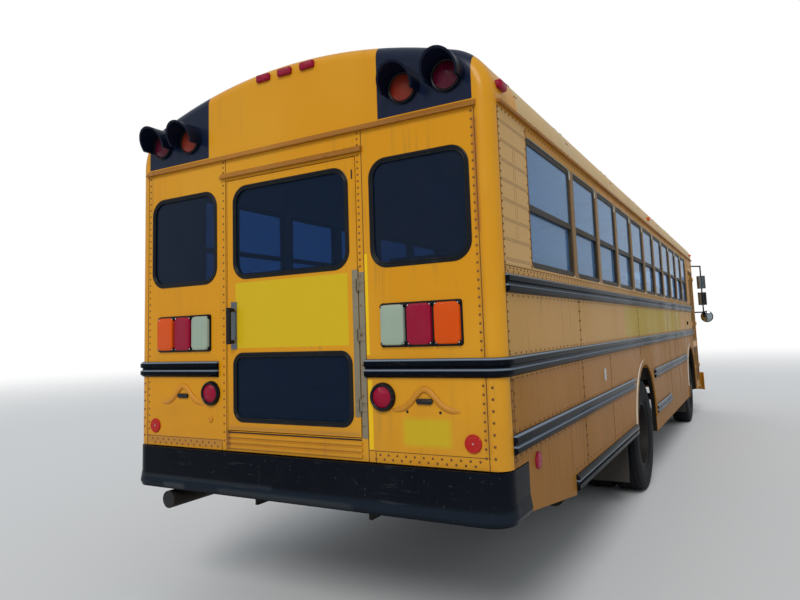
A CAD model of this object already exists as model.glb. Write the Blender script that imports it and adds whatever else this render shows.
import logging
import math
from dataclasses import dataclass, field, replace
from enum import Enum
from typing import Iterable, Sequence

import bmesh
import bpy
from mathutils import Matrix, Vector


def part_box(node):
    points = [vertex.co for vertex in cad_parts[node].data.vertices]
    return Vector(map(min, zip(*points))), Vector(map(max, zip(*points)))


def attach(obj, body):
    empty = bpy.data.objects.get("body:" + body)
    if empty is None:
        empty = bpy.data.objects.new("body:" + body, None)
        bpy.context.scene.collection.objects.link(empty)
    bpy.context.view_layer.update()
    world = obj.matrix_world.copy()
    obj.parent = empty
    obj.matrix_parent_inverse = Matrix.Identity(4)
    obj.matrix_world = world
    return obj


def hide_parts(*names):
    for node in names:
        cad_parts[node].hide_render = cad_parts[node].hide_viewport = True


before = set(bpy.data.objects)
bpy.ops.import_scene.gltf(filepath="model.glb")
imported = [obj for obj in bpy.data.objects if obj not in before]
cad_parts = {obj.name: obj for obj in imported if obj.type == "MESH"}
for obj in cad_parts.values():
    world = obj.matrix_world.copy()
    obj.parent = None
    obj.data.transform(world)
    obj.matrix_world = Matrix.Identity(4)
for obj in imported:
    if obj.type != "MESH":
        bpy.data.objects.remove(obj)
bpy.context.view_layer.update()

log = logging.getLogger("school_bus")
Point = tuple[float, float, float]
Colour = tuple[float, float, float, float]
Liner = tuple[Point, Point, float]
Profile = Sequence[tuple[float, float]]

# In metres: the origin's station, half the width over the side panels, and the deck's height
MIDDLE = 4.935
HALF_WIDTH = 1.219
FLOOR = 1.04
# The feet of the four rub rails, and the rails' height
RAIL_FEET = (0.622, 0.990, 1.340, 1.724)
RAIL_TALL = 0.09
# How far ahead a line starts that looks for the nose's surface
AHEAD = 6.0


def at(station: float) -> float:
    """Give the X of a station counted forward from the rear panel.

    Args:
        station: distance from the rear panel in metres.

    Returns:
        X in the bus's frame.
    """
    return station - MIDDLE


class Side(Enum):
    """The two sides of the bus, as the sign of Y."""

    KERB = -1
    DRIVER = 1


class Facing(Enum):
    """Outward directions of the body's flat faces."""

    REAR = (-1.0, 0.0, 0.0)
    FRONT = (1.0, 0.0, 0.0)
    KERB = (0.0, -1.0, 0.0)


# Shader graph


class Graph:
    """A node tree with short calls for adding and linking nodes."""

    def __init__(self, tree: bpy.types.NodeTree) -> None:
        """Wrap a tree.

        Args:
            tree: the material's or the group's node tree.
        """
        self.tree = tree

    def add(self, kind: str, values: dict[str | int, object] | None = None, **settings: object) -> bpy.types.Node:
        """Add a node.

        Args:
            kind: the node's type name.
            values: input sockets by name or number, each a constant or an output socket.
            settings: properties of the node.

        Returns:
            The node.
        """
        node = self.tree.nodes.new(kind)
        for key, value in settings.items():
            setattr(node, key, value)
        for key, value in (values or {}).items():
            if isinstance(value, bpy.types.NodeSocket):
                self.tree.links.new(value, node.inputs[key])
            else:
                node.inputs[key].default_value = value
        return node

    def math(self, operation: str, first: object, second: object = 0.0, clamp: bool = False) -> bpy.types.NodeSocket:
        """Add a Math node and give its result.

        Args:
            operation: the node's operation.
            first: first value or socket.
            second: second value or socket.
            clamp: whether the result is kept between 0 and 1.

        Returns:
            The result's socket.
        """
        return self.add("ShaderNodeMath", {0: first, 1: second}, operation=operation, use_clamp=clamp).outputs[0]

    def smooth(self, value: object, low: object, high: object) -> bpy.types.NodeSocket:
        """Rise smoothly from 0 at low to 1 at high.

        Args:
            value: the value or socket read.
            low: where the rise starts.
            high: where it ends.

        Returns:
            The result's socket.
        """
        node = self.add(
            "ShaderNodeMapRange",
            {"Value": value, "From Min": low, "From Max": high},
            interpolation_type="SMOOTHSTEP",
        )
        return node.outputs["Result"]

    def mix(self, factor: object, first: object, second: object) -> bpy.types.NodeSocket:
        """Mix two colours.

        Args:
            factor: share of the second.
            first: colour or socket.
            second: colour or socket.

        Returns:
            The mixed colour's socket.
        """
        node = self.add("ShaderNodeMix", data_type="RGBA")
        for key, value in ((0, factor), (6, first), (7, second)):
            if isinstance(value, bpy.types.NodeSocket):
                self.tree.links.new(value, node.inputs[key])
            else:
                node.inputs[key].default_value = value
        return node.outputs[2]

    def noise(
        self, scale: object, detail: float = 3.0, stretch: Point | None = None, rough: float = 0.5
    ) -> bpy.types.NodeSocket:
        """Add a noise over the object's own coordinates.

        Args:
            scale: the noise's scale, per metre.
            detail: octaves.
            stretch: scale along X, Y and Z.
            rough: the octaves' strength.

        Returns:
            The noise's value.
        """
        source = self.add("ShaderNodeTexCoord").outputs["Object"]
        if stretch:
            source = self.add("ShaderNodeMapping", {"Vector": source, "Scale": stretch}).outputs["Vector"]
        values = {"Vector": source, "Scale": scale, "Detail": detail, "Roughness": rough}
        return self.add("ShaderNodeTexNoise", values).outputs["Fac"]


def new_group(
    name: str, inputs: Sequence[tuple[str, str, object]], outputs: Sequence[tuple[str, str]]
) -> tuple[Graph, bpy.types.Node, bpy.types.Node]:
    """Start a shader node group.

    Args:
        name: the group's name.
        inputs: each input's name, socket type and default.
        outputs: each output's name and socket type.

    Returns:
        The graph, its input node and its output node.
    """
    tree = bpy.data.node_groups.new(name, "ShaderNodeTree")
    for label, kind, default in inputs:
        socket = tree.interface.new_socket(label, in_out="INPUT", socket_type=kind)
        socket.default_value = default
    for label, kind in outputs:
        tree.interface.new_socket(label, in_out="OUTPUT", socket_type=kind)
    graph = Graph(tree)
    return graph, tree.nodes.new("NodeGroupInput"), tree.nodes.new("NodeGroupOutput")


FLOAT = "NodeSocketFloat"
COLOUR = "NodeSocketColor"
VECTOR = "NodeSocketVector"


@dataclass(frozen=True)
class Zone:
    """A box of the body that has its own colour."""

    low: Point
    high: Point
    colour: Colour
    strength: float = 1.0
    soft: float = 0.004


class Effects:
    """Shader groups that several finishes share, each built once."""

    def __init__(self) -> None:
        """Build every group."""
        self.zone = self._zone()
        self.weather = self._weather()
        self.scuffs = self._scuffs()
        self.liner = self._liner()
        self.grain = self._grain()

    def mask_zone(self, graph: Graph, zone: Zone) -> bpy.types.NodeSocket:
        """Add the mask of a zone.

        Args:
            graph: the material's graph.
            zone: the zone.

        Returns:
            The mask's socket.
        """
        values = {"Low": zone.low, "High": zone.high, "Soft": zone.soft}
        return graph.add("ShaderNodeGroup", values, node_tree=self.zone).outputs[0]

    def mask_inner(self, graph: Graph, liner: Liner) -> bpy.types.NodeSocket:
        """Add the mask of the faces that look inward.

        Args:
            graph: the material's graph.
            liner: the middle that they look at, the axes that count, and the level under which they do.

        Returns:
            The mask's socket.
        """
        centre, axes, level = liner
        values = {"Centre": centre, "Axes": axes, "Level": level}
        return graph.add("ShaderNodeGroup", values, node_tree=self.liner).outputs[0]

    @staticmethod
    def _zone() -> bpy.types.NodeTree:
        """Mask of a box with soft edges.

        Returns:
            The group's tree.
        """
        graph, source, target = new_group(
            "zone",
            [("Low", VECTOR, (0, 0, 0)), ("High", VECTOR, (1, 1, 1)), ("Soft", FLOAT, 0.004)],
            [("Mask", FLOAT)],
        )
        place = graph.add("ShaderNodeTexCoord").outputs["Object"]
        vectors = (place, source.outputs[0], source.outputs[1])
        parts = [graph.add("ShaderNodeSeparateXYZ", {0: vector}) for vector in vectors]
        mask: object = 1.0
        for axis in range(3):
            value, low, high = (part.outputs[axis] for part in parts)
            after = graph.math("DIVIDE", graph.math("SUBTRACT", value, low), source.outputs[2], True)
            before = graph.math("DIVIDE", graph.math("SUBTRACT", high, value), source.outputs[2], True)
            mask = graph.math("MULTIPLY", mask, graph.math("MULTIPLY", after, before))
        graph.tree.links.new(mask, target.inputs[0])
        return graph.tree

    @staticmethod
    def _weather() -> bpy.types.NodeTree:
        """Fading in clouds, run marks down the panels and road dirt near the ground.

        Returns:
            The group's tree.
        """
        graph, source, target = new_group(
            "weather",
            [
                ("Colour", COLOUR, (0.8, 0.4, 0.02, 1)),
                ("Faded", COLOUR, (0.8, 0.5, 0.2, 1)),
                ("Fade", FLOAT, 0.4),
                ("Dirt", COLOUR, (0.12, 0.08, 0.05, 1)),
                ("Reach", FLOAT, 1.0),
                ("Soiling", FLOAT, 0.5),
                ("Streaks", FLOAT, 0.3),
            ],
            [("Colour", COLOUR), ("Dull", FLOAT)],
        )
        colour, faded, fade, dirt, reach, soiling, streaks = source.outputs[:7]
        clouds = graph.smooth(graph.noise(1.3, 5, (1, 1, 0.7)), 0.38, 0.68)
        first = graph.mix(graph.math("MULTIPLY", clouds, fade), colour, faded)
        runs = graph.smooth(graph.noise(1.0, 6, (26, 26, 1.1), 0.6), 0.5, 0.74)
        patches = graph.smooth(graph.noise(2.1, 3), 0.4, 0.65)
        run_mask = graph.math("MULTIPLY", graph.math("MULTIPLY", runs, patches), streaks)
        second = graph.mix(run_mask, first, dirt)
        place = graph.add("ShaderNodeTexCoord").outputs["Object"]
        height = graph.add("ShaderNodeSeparateXYZ", {0: place}).outputs[2]
        uneven = graph.math("ADD", height, graph.math("MULTIPLY", graph.noise(6.0, 6), -0.5))
        low = graph.math("SUBTRACT", 1.0, graph.smooth(uneven, 0.0, reach))
        speckle = graph.math("ADD", 0.55, graph.math("MULTIPLY", graph.noise(90.0, 2), 0.7))
        dirt_mask = graph.math("MULTIPLY", graph.math("MULTIPLY", low, speckle), soiling, True)
        third = graph.mix(dirt_mask, second, dirt)
        graph.tree.links.new(third, target.inputs[0])
        dull = graph.math("MAXIMUM", dirt_mask, graph.math("MAXIMUM", run_mask, graph.math("MULTIPLY", clouds, fade)))
        graph.tree.links.new(dull, target.inputs[1])
        return graph.tree

    @staticmethod
    def _scuffs() -> bpy.types.NodeTree:
        """Scratches and chips, as a mask.

        Returns:
            The group's tree.
        """
        graph, source, target = new_group(
            "scuffs", [("Scale", FLOAT, 20.0), ("Amount", FLOAT, 0.5)], [("Mask", FLOAT)]
        )
        along = graph.smooth(graph.noise(source.outputs[0], 4, (0.6, 0.6, 9.0), 0.6), 0.60, 0.66)
        down = graph.smooth(graph.noise(source.outputs[0], 4, (9.0, 9.0, 0.8), 0.6), 0.63, 0.69)
        broken = graph.smooth(graph.noise(3.5, 5), 0.48, 0.62)
        lines = graph.math("MAXIMUM", graph.math("MULTIPLY", along, 0.7), down)
        chips = graph.smooth(graph.noise(60.0, 4), 0.66, 0.72)
        mask = graph.math("MAXIMUM", graph.math("MULTIPLY", lines, broken), chips)
        graph.tree.links.new(graph.math("MULTIPLY", mask, source.outputs[1], True), target.inputs[0])
        return graph.tree

    @staticmethod
    def _liner() -> bpy.types.NodeTree:
        """Mask of the faces that look inward, towards the cabin's middle.

        Returns:
            The group's tree.
        """
        graph, source, target = new_group(
            "liner",
            [("Centre", VECTOR, (0, 0, 1.9)), ("Axes", VECTOR, (0, 1, 1)), ("Level", FLOAT, -0.02)],
            [("Mask", FLOAT)],
        )
        place = graph.add("ShaderNodeTexCoord").outputs["Object"]
        normal = graph.add("ShaderNodeTexCoord").outputs["Normal"]
        away = graph.add("ShaderNodeVectorMath", {0: place, 1: source.outputs[0]}, operation="SUBTRACT").outputs[0]
        kept = graph.add("ShaderNodeVectorMath", {0: away, 1: source.outputs[1]}, operation="MULTIPLY").outputs[0]
        facing = graph.add("ShaderNodeVectorMath", {0: kept, 1: normal}, operation="DOT_PRODUCT").outputs["Value"]
        graph.tree.links.new(graph.math("LESS_THAN", facing, source.outputs[2]), target.inputs[0])
        return graph.tree

    @staticmethod
    def _grain() -> bpy.types.NodeTree:
        """Fine grain with broad waves under it, as a height.

        Returns:
            The group's tree.
        """
        graph, source, target = new_group(
            "grain", [("Fine", FLOAT, 400.0), ("Broad", FLOAT, 4.0), ("Waves", FLOAT, 0.5)], [("Height", FLOAT)]
        )
        fine = graph.noise(source.outputs[0], 2)
        broad = graph.math("MULTIPLY", graph.noise(source.outputs[1], 2), source.outputs[2])
        graph.tree.links.new(graph.math("ADD", fine, broad), target.inputs[0])
        return graph.tree


@dataclass(frozen=True)
class Finish:
    """A painted, rubber, metal or plastic surface with its wear."""

    name: str
    colour: Colour
    faded: Colour
    dirt: Colour = (0.10, 0.075, 0.05, 1)
    fade: float = 0.4
    reach: float = 1.1
    soiling: float = 0.35
    streaks: float = 0.3
    roughness: float = 0.35
    dulling: float = 0.3
    metallic: float = 0.0
    specular: float = 0.4
    coat: float = 0.0
    scuff: float = 0.15
    scuff_scale: float = 14.0
    scuff_colour: Colour = (0.25, 0.2, 0.15, 1)
    grain: float = 400.0
    waves: float = 0.6
    bump: float = 0.02
    distance: float = 0.002
    zones: tuple[Zone, ...] = ()
    liner: Liner | None = None
    liner_colour: Colour = (0.62, 0.62, 0.56, 1)
    under: Zone | None = None
    under_liner: Liner = ((0.0, 0.0, 0.0), (0.0, 1.0, 0.0), 0.6)
    scuff_roughness: float = 0.2
    coat_roughness: float = 0.12

    def build(self, effects: Effects) -> bpy.types.Material:
        """Make the material.

        Args:
            effects: the shared shader groups.

        Returns:
            The material.
        """
        material = bpy.data.materials.new(self.name)
        material.use_nodes = True
        graph = Graph(material.node_tree)
        shader = material.node_tree.nodes["Principled BSDF"]
        wear = {
            "Colour": self.colour, "Faded": self.faded, "Fade": self.fade, "Dirt": self.dirt, "Reach": self.reach,
            "Soiling": self.soiling, "Streaks": self.streaks,
        }
        weather = graph.add("ShaderNodeGroup", wear, node_tree=effects.weather)
        colour = weather.outputs["Colour"]
        for zone in self.zones:
            share = graph.math("MULTIPLY", effects.mask_zone(graph, zone), zone.strength)
            colour = graph.mix(share, colour, zone.colour)
        scratches = {"Scale": self.scuff_scale, "Amount": self.scuff}
        scuffs = graph.add("ShaderNodeGroup", scratches, node_tree=effects.scuffs)
        colour = graph.mix(scuffs.outputs[0], colour, self.scuff_colour)
        if self.liner:
            colour = graph.mix(effects.mask_inner(graph, self.liner), colour, self.liner_colour)
        if self.under:
            inner = effects.mask_inner(graph, self.under_liner)
            share = graph.math("MULTIPLY", effects.mask_zone(graph, self.under), inner)
            colour = graph.mix(share, colour, self.under.colour)
        grain = graph.add("ShaderNodeGroup", {"Fine": self.grain, "Waves": self.waves}, node_tree=effects.grain)
        relief = {"Height": grain.outputs[0], "Strength": self.bump, "Distance": self.distance}
        bump = graph.add("ShaderNodeBump", relief)
        links = material.node_tree.links
        links.new(colour, shader.inputs["Base Color"])
        links.new(bump.outputs[0], shader.inputs["Normal"])
        rough = graph.math("ADD", self.roughness, graph.math("MULTIPLY", weather.outputs["Dull"], self.dulling))
        rough = graph.math("ADD", rough, graph.math("MULTIPLY", scuffs.outputs[0], self.scuff_roughness), True)
        links.new(rough, shader.inputs["Roughness"])
        shader.inputs["Metallic"].default_value = self.metallic
        shader.inputs["Specular IOR Level"].default_value = self.specular
        shader.inputs["Coat Weight"].default_value = self.coat
        shader.inputs["Coat Roughness"].default_value = self.coat_roughness
        return material


@dataclass(frozen=True)
class Glass:
    """Clear, tinted or lens glass with dust on it."""

    name: str
    colour: Colour
    transmission: float = 1.0
    roughness: float = 0.02
    ior: float = 1.45
    dust: float = 0.1
    flutes: float = 0.0
    flute_scale: float = 300.0
    rear_colour: Colour | None = None
    rear_end: float = at(0.06)
    film_colour: Colour = (0.35, 0.33, 0.3, 1)
    film_roughness: float = 0.5

    def build(self, effects: Effects) -> bpy.types.Material:
        """Make the material.

        Args:
            effects: the shared shader groups, as every finish is given them; a glass needs none.

        Returns:
            The material.
        """
        material = bpy.data.materials.new(self.name)
        material.use_nodes = True
        graph = Graph(material.node_tree)
        shader = material.node_tree.nodes["Principled BSDF"]
        links = material.node_tree.links
        shader.inputs["Transmission Weight"].default_value = self.transmission
        shader.inputs["IOR"].default_value = self.ior
        smears = graph.smooth(graph.noise(9.0, 6), 0.35, 0.75)
        film = graph.math("MULTIPLY", smears, self.dust)
        tint = self.colour
        if self.rear_colour:
            place = graph.add("ShaderNodeTexCoord").outputs["Object"]
            along = graph.add("ShaderNodeSeparateXYZ", {0: place}).outputs[0]
            tint = graph.mix(graph.math("LESS_THAN", along, self.rear_end), self.colour, self.rear_colour)
        links.new(graph.mix(film, tint, self.film_colour), shader.inputs["Base Color"])
        rough = graph.math("ADD", self.roughness, graph.math("MULTIPLY", film, self.film_roughness))
        links.new(rough, shader.inputs["Roughness"])
        if self.flutes:
            place = graph.add("ShaderNodeTexCoord").outputs["Object"]
            wave = graph.add("ShaderNodeTexWave", {"Vector": place, "Scale": self.flute_scale, "Distortion": 0.0},
                             bands_direction="Y").outputs["Fac"]
            bump = graph.add("ShaderNodeBump", {"Height": wave, "Strength": self.flutes, "Distance": 0.002})
            links.new(bump.outputs[0], shader.inputs["Normal"])
        return material


class Form:
    """A mesh in the making, in metres in the bus's frame."""

    def __init__(self) -> None:
        """Start empty."""
        self.mesh = bmesh.new()
        self.material = 0

    def skin(self, corners: Sequence[bmesh.types.BMVert]) -> None:
        """Add a face over corners that are there."""
        self.mesh.faces.new(corners).material_index = self.material

    def face(self, points: Iterable[Sequence[float]]) -> None:
        """Add a face over new corners, given in order."""
        self.skin([self.mesh.verts.new(point) for point in points])

    def sweep(
        self, rings: Sequence[Sequence[Vector]], closed_ring: bool = True, closed_path: bool = False,
        caps: bool = True,
    ) -> None:
        """Skin a row of rings of equal count.

        Args:
            rings: each ring's points.
            closed_ring: whether a ring's last point joins its first.
            closed_path: whether the last ring joins the first.
            caps: whether open ends are closed with a face.
        """
        verts = [[self.mesh.verts.new(point) for point in ring] for ring in rings]
        count = len(verts[0])
        spans = count if closed_ring else count - 1
        rows = len(verts) if closed_path else len(verts) - 1
        for row in range(rows):
            near, far = verts[row], verts[(row + 1) % len(verts)]
            for step in range(spans):
                after = (step + 1) % count
                self.skin((near[step], near[after], far[after], far[step]))
        if caps and closed_ring and not closed_path:
            for ring in (verts[0][::-1], verts[-1]):
                self.skin(ring)

    def block(self, low: Point, high: Point, bevel: float = 0.0, segments: int = 2) -> None:
        """Add a box with rounded edges.

        Args:
            low: lowest corner.
            high: highest corner.
            bevel: width of the rounding.
            segments: faces over the rounding.
        """
        size = Vector(high) - Vector(low)
        middle = (Vector(high) + Vector(low)) / 2
        matrix = Matrix.Translation(middle) @ Matrix.Diagonal((*size, 1))
        made = bmesh.ops.create_cube(self.mesh, size=1.0, matrix=matrix)["verts"]
        edges = list({edge for vert in made for edge in vert.link_edges})
        faces = list({face for vert in made for face in vert.link_faces})
        for item in faces:
            item.material_index = self.material
        if bevel:
            result = bmesh.ops.bevel(
                self.mesh, geom=edges, offset=bevel, segments=segments, profile=0.5, affect="EDGES", clamp_overlap=True
            )
            for item in result["faces"]:
                item.material_index = self.material

    def tube(self, points: Sequence[Sequence[float]], radius: float, sides: int = 10, closed: bool = False,
             flat: float = 1.0, up: Point = (0, 0, 1)) -> None:
        """Add a round or flattened bar through points.

        Args:
            points: the bar's centre line.
            radius: half its width.
            sides: faces round it.
            closed: whether the line is a loop.
            flat: height of the section over its width.
            up: direction of the section's height.
        """
        line = [Vector(point) for point in points]
        rings = []
        for index, point in enumerate(line):
            before = line[index - 1] if index or closed else point
            after = line[(index + 1) % len(line)] if index < len(line) - 1 or closed else point
            run = (after - before).normalized()
            across = run.cross(Vector(up))
            if across.length < 1e-4:
                across = run.cross(Vector((1, 0, 0)))
            across.normalize()
            rise = across.cross(run)
            ring = []
            for step in range(sides):
                turn = 2 * math.pi * step / sides
                ring.append(point + across * (radius * math.cos(turn)) + rise * (radius * flat * math.sin(turn)))
            rings.append(ring)
        self.sweep(rings, closed_path=closed)

    def lathe(self, profile: Profile, origin: Point, axis: Point, steps: int = 48, closed: bool = False) -> None:
        """Turn a profile about an axis.

        Args:
            profile: (along the axis, radius) points.
            origin: where along is 0.
            axis: the axis's direction.
            steps: faces round it.
            closed: whether the profile is a loop.
        """
        along = Vector(axis).normalized()
        across = along.orthogonal().normalized()
        other = along.cross(across)
        rings = []
        for step in range(steps):
            turn = 2 * math.pi * step / steps
            out = across * math.cos(turn) + other * math.sin(turn)
            rings.append([Vector(origin) + along * reach + out * max(radius, 1e-5) for reach, radius in profile])
        self.sweep(rings, closed_ring=closed, closed_path=True, caps=False)

    def dome(
        self, centre: Sequence[float], normal: Sequence[float], radius: float, height: float, sides: int = 8,
        rings: int = 2,
    ) -> None:
        """Add a low dome, such as a rivet's or a bolt's head.

        Args:
            centre: middle of its foot.
            normal: its outward direction.
            radius: its foot's radius.
            height: how far it stands out.
            sides: faces round it.
            rings: faces from foot to top.
        """
        out = Vector(normal).normalized()
        across = out.orthogonal().normalized()
        other = out.cross(across)
        ways = []
        for step in range(sides):
            turn = 2 * math.pi * step / sides
            ways.append(across * math.cos(turn) + other * math.sin(turn))
        loops = []
        for level in range(rings):
            lean = level / rings * math.pi / 2
            middle = Vector(centre) + out * (height * math.sin(lean))
            loops.append([self.mesh.verts.new(middle + way * (radius * math.cos(lean))) for way in ways])
        top = self.mesh.verts.new(Vector(centre) + out * height)
        for near, far in zip(loops, loops[1:]):
            for step in range(sides):
                after = (step + 1) % sides
                self.skin((near[step], near[after], far[after], far[step]))
        for step in range(sides):
            self.skin((loops[-1][step], loops[-1][(step + 1) % sides], top))

    def boss(
        self, origin: Point, facing: Facing, levels: Sequence[tuple[float, float, float, float]], steps: int = 6
    ) -> None:
        """Raise a rounded rectangular boss from a flat face.

        Args:
            origin: middle of its foot.
            facing: the way it stands out.
            levels: (width, height, corner radius, distance out) from the foot up.
            steps: points in each corner.
        """
        out = Vector(facing.value)
        rise = Vector((0, 0, 1)) if abs(out.z) < 0.5 else Vector((1, 0, 0))
        across = rise.cross(out)
        rings = []
        for width, height, radius, reach in levels:
            rings.append([
                Vector(origin) + across * a + rise * b + out * reach
                for a, b in rounded_loop(width, height, radius, steps)
            ])
        self.sweep(rings)

    def bake(self, name: str) -> bpy.types.Mesh:
        """Turn the form into a mesh whose faces look outward.

        Args:
            name: the mesh's name.

        Returns:
            The mesh.
        """
        bmesh.ops.recalc_face_normals(self.mesh, faces=self.mesh.faces)
        data = bpy.data.meshes.new(name)
        self.mesh.to_mesh(data)
        self.mesh.free()
        return data

    def finish(self, name: str, body: str, materials: Sequence[bpy.types.Material], slot: str,
               replaces: Sequence[str] = (), smooth: float = 40.0) -> bpy.types.Object:
        """Turn the form into a piece that rides on a body.

        Args:
            name: the piece's name.
            body: the CAD body that it rides on.
            materials: its materials in order.
            slot: the record's slot that it takes its finish from.
            replaces: CAD nodes that it stands for.
            smooth: angle in degrees under which edges are shaded smooth.

        Returns:
            The object.
        """
        data = self.bake(name)
        for item in data.polygons:
            item.use_smooth = True
        data.set_sharp_from_angle(angle=math.radians(smooth))
        piece = add_object(name, data)
        for material in materials:
            data.materials.append(material)
        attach(piece, body)
        if replaces:
            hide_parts(*replaces)
        log.info("piece %s: %d faces on %s", name, len(data.polygons), body)
        return piece


def add_object(name: str, data: bpy.types.ID) -> bpy.types.Object:
    """Put a new object into the scene.

    Args:
        name: its name.
        data: its mesh, light or camera.

    Returns:
        The object.
    """
    item = bpy.data.objects.new(name, data)
    bpy.context.scene.collection.objects.link(item)
    return item


def ribbed_dome(radius: float, foot: float, rise: float, steps: int, rib: float) -> list[tuple[float, float]]:
    """Give the profile of a lens that domes up in rings, between its rim and its middle.

    Args:
        radius: the lens's radius.
        foot: height of its rim.
        rise: how far its middle stands over its rim.
        steps: steps from the rim to the middle.
        rib: how far every second step stands out.

    Returns:
        (along the axis, radius) points.
    """
    points = []
    for step in range(1, steps):
        share = 1 - step / steps
        points.append((foot + rise * (1 - share**2) + rib * (step % 2), radius * share))
    return points


def rounded_loop(width: float, height: float, radius: float, steps: int = 8) -> list[tuple[float, float]]:
    """Give the points of a rounded rectangle about its middle.

    Args:
        width: full width.
        height: full height.
        radius: its corners' radius.
        steps: points in each corner.

    Returns:
        The points in order.
    """
    points = []
    for turn, (x, y) in enumerate(((1, 1), (-1, 1), (-1, -1), (1, -1))):
        cx, cy = x * (width / 2 - radius), y * (height / 2 - radius)
        for step in range(steps + 1):
            angle = math.pi / 2 * (turn + step / steps)
            points.append((cx + radius * math.cos(angle), cy + radius * math.sin(angle)))
    return points


# Finishes

YELLOW: Colour = (0.63, 0.265, 0.003, 1)
SUNNED: Colour = (0.66, 0.325, 0.022, 1)
CHALKY: Colour = (0.46, 0.255, 0.065, 1)
FRESH: Colour = (0.60, 0.42, 0.006, 1)
GRIME: Colour = (0.13, 0.080, 0.035, 1)
DUST: Colour = (0.15, 0.135, 0.115, 1)
BLACK: Colour = (0.004, 0.005, 0.008, 1)
NAVY: Colour = (0.004, 0.009, 0.030, 1)
RUST: Colour = (0.16, 0.045, 0.012, 1)
DRY_RUST: Colour = (0.25, 0.12, 0.05, 1)

PANEL_INNER = 0.60
PANEL_OUTER = 1.127
PANEL_FOOT = 2.643
PANEL_TOP = 3.3


def black_panels(low_x: float, high_x: float) -> tuple[Zone, ...]:
    """Give the two black fields round the warning lamps on a roof cap.

    Args:
        low_x: rear limit of the fields.
        high_x: front limit of the fields.

    Returns:
        A zone for each side.
    """
    return tuple(
        Zone(
            (low_x, min(side * PANEL_INNER, side * PANEL_OUTER), PANEL_FOOT),
            (high_x, max(side * PANEL_INNER, side * PANEL_OUTER), PANEL_TOP),
            NAVY,
            1.0,
            0.002,
        )
        for side in (-1, 1)
    )


def both_sides(
    start: float, end: float, low: float, high: float, colour: Colour, strength: float, soft: float
) -> Zone:
    """Give a zone that colours a field of both side walls.

    Args:
        start: its rear end's station.
        end: its front end's station.
        low: its lowest height.
        high: its greatest height.
        colour: its colour.
        strength: how fully it covers.
        soft: width of its edge.

    Returns:
        The zone.
    """
    return Zone((at(start), -1.3, low), (at(end), 1.3, high), colour, strength, soft)


CABIN: Point = (0.0, 0.0, 1.9)
CAP_LINER = (CABIN, (1.0, 0.0, 1.0), -0.02)
WALL_LINER = (CABIN, (0.0, 1.0, 1.0), -0.02)
ROOF_LINER = (CABIN, (0.0, 1.0, 1.0), 0.02)
END_LINER = (CABIN, (1.0, 0.0, 0.0), -0.02)
HINGE_GREY = Zone((-5.1, -0.53, 1.06), (-4.9375, -0.41, 2.1), (0.20, 0.18, 0.13, 1), 0.95, 0.001)
HINGE_GAP = Zone((-5.0, -0.4610, 1.05), (-4.90, -0.4520, 1.90), (0.035, 0.022, 0.012, 1), 0.85, 0.0005)

# Each finish's first values are its name, colour, faded colour, dirt's colour, fade, reach, soiling, streaks,
# roughness and dulling. A glass's are its name, colour, transmission, roughness, IOR, dust and flutes.
REAR_PAINT = Finish(
    "rear_paint", YELLOW, SUNNED, GRIME, 0.5, 1.25, 0.42, 0.34, 0.30, 0.25, specular=0.20, coat=0.06, scuff=0.10,
    scuff_colour=DRY_RUST, bump=0.05, waves=3.0, liner=END_LINER,
    zones=(
        Zone((-5.0, -0.962, 1.005), (-4.90, -0.680, 1.162), (0.50, 0.39, 0.008, 1), 0.72, 0.03),
        Zone((-5.0, 0.66, 1.10), (-4.90, 0.98, 1.20), (0.16, 0.075, 0.02, 1), 0.22, 0.07),
        Zone((-5.0, -0.515, 1.45), (-4.90, -0.496, 1.96), (0.82, 0.52, 0.004, 1), 0.95, 0.002),
        Zone((-5.0, -0.524, 0.99), (-4.90, -0.497, 1.33), (0.80, 0.50, 0.004, 1), 0.85, 0.003),
        HINGE_GREY,
        HINGE_GAP,
        Zone((-5.0, -0.470, 0.925), (-4.90, 0.470, 1.028), (0.30, 0.13, 0.03, 1), 0.14, 0.03),
        Zone((-5.0, 0.42, 0.93), (-4.90, 0.475, 1.06), RUST, 0.75, 0.025),
        Zone((-5.0, -1.155, 0.99), (-4.90, -1.105, 2.60), RUST, 0.22, 0.02),
        Zone((-5.0, -1.150, 2.00), (-4.90, -1.112, 2.56), (0.26, 0.05, 0.02, 1), 0.55, 0.02),
        Zone((-5.0, 0.50, 0.94), (-4.90, 1.14, 0.992), DRY_RUST, 0.40, 0.012),
    ),
)
DOOR_PAINT = replace(
    REAR_PAINT, name="door_paint", reach=1.35, soiling=0.5,
    zones=(
        Zone((-5.0, -0.392, 1.500), (-4.90, 0.392, 1.874), FRESH, 0.9, 0.004),
        Zone((-5.1, 0.378, 1.49), (-4.9425, 0.43, 1.77), BLACK, 1.0, 0.001),
        HINGE_GREY,
        HINGE_GAP,
        Zone((-5.0, -0.452, 1.04), (-4.90, 0.452, 1.075), DRY_RUST, 0.35, 0.015),
    ),
)
CAP_PAINT = Finish(
    "cap_paint", YELLOW, SUNNED, GRIME, 0.45, 0.5, 0.1, 0.30, 0.28, 0.25, specular=0.20, coat=0.08, scuff=0.06,
    bump=0.03, waves=3.0, liner=CAP_LINER, zones=black_panels(-5.2, at(0.215)),
)
FRONT_CAP_PAINT = replace(CAP_PAINT, name="front_cap_paint", zones=black_panels(at(9.60), 5.2))
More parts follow.
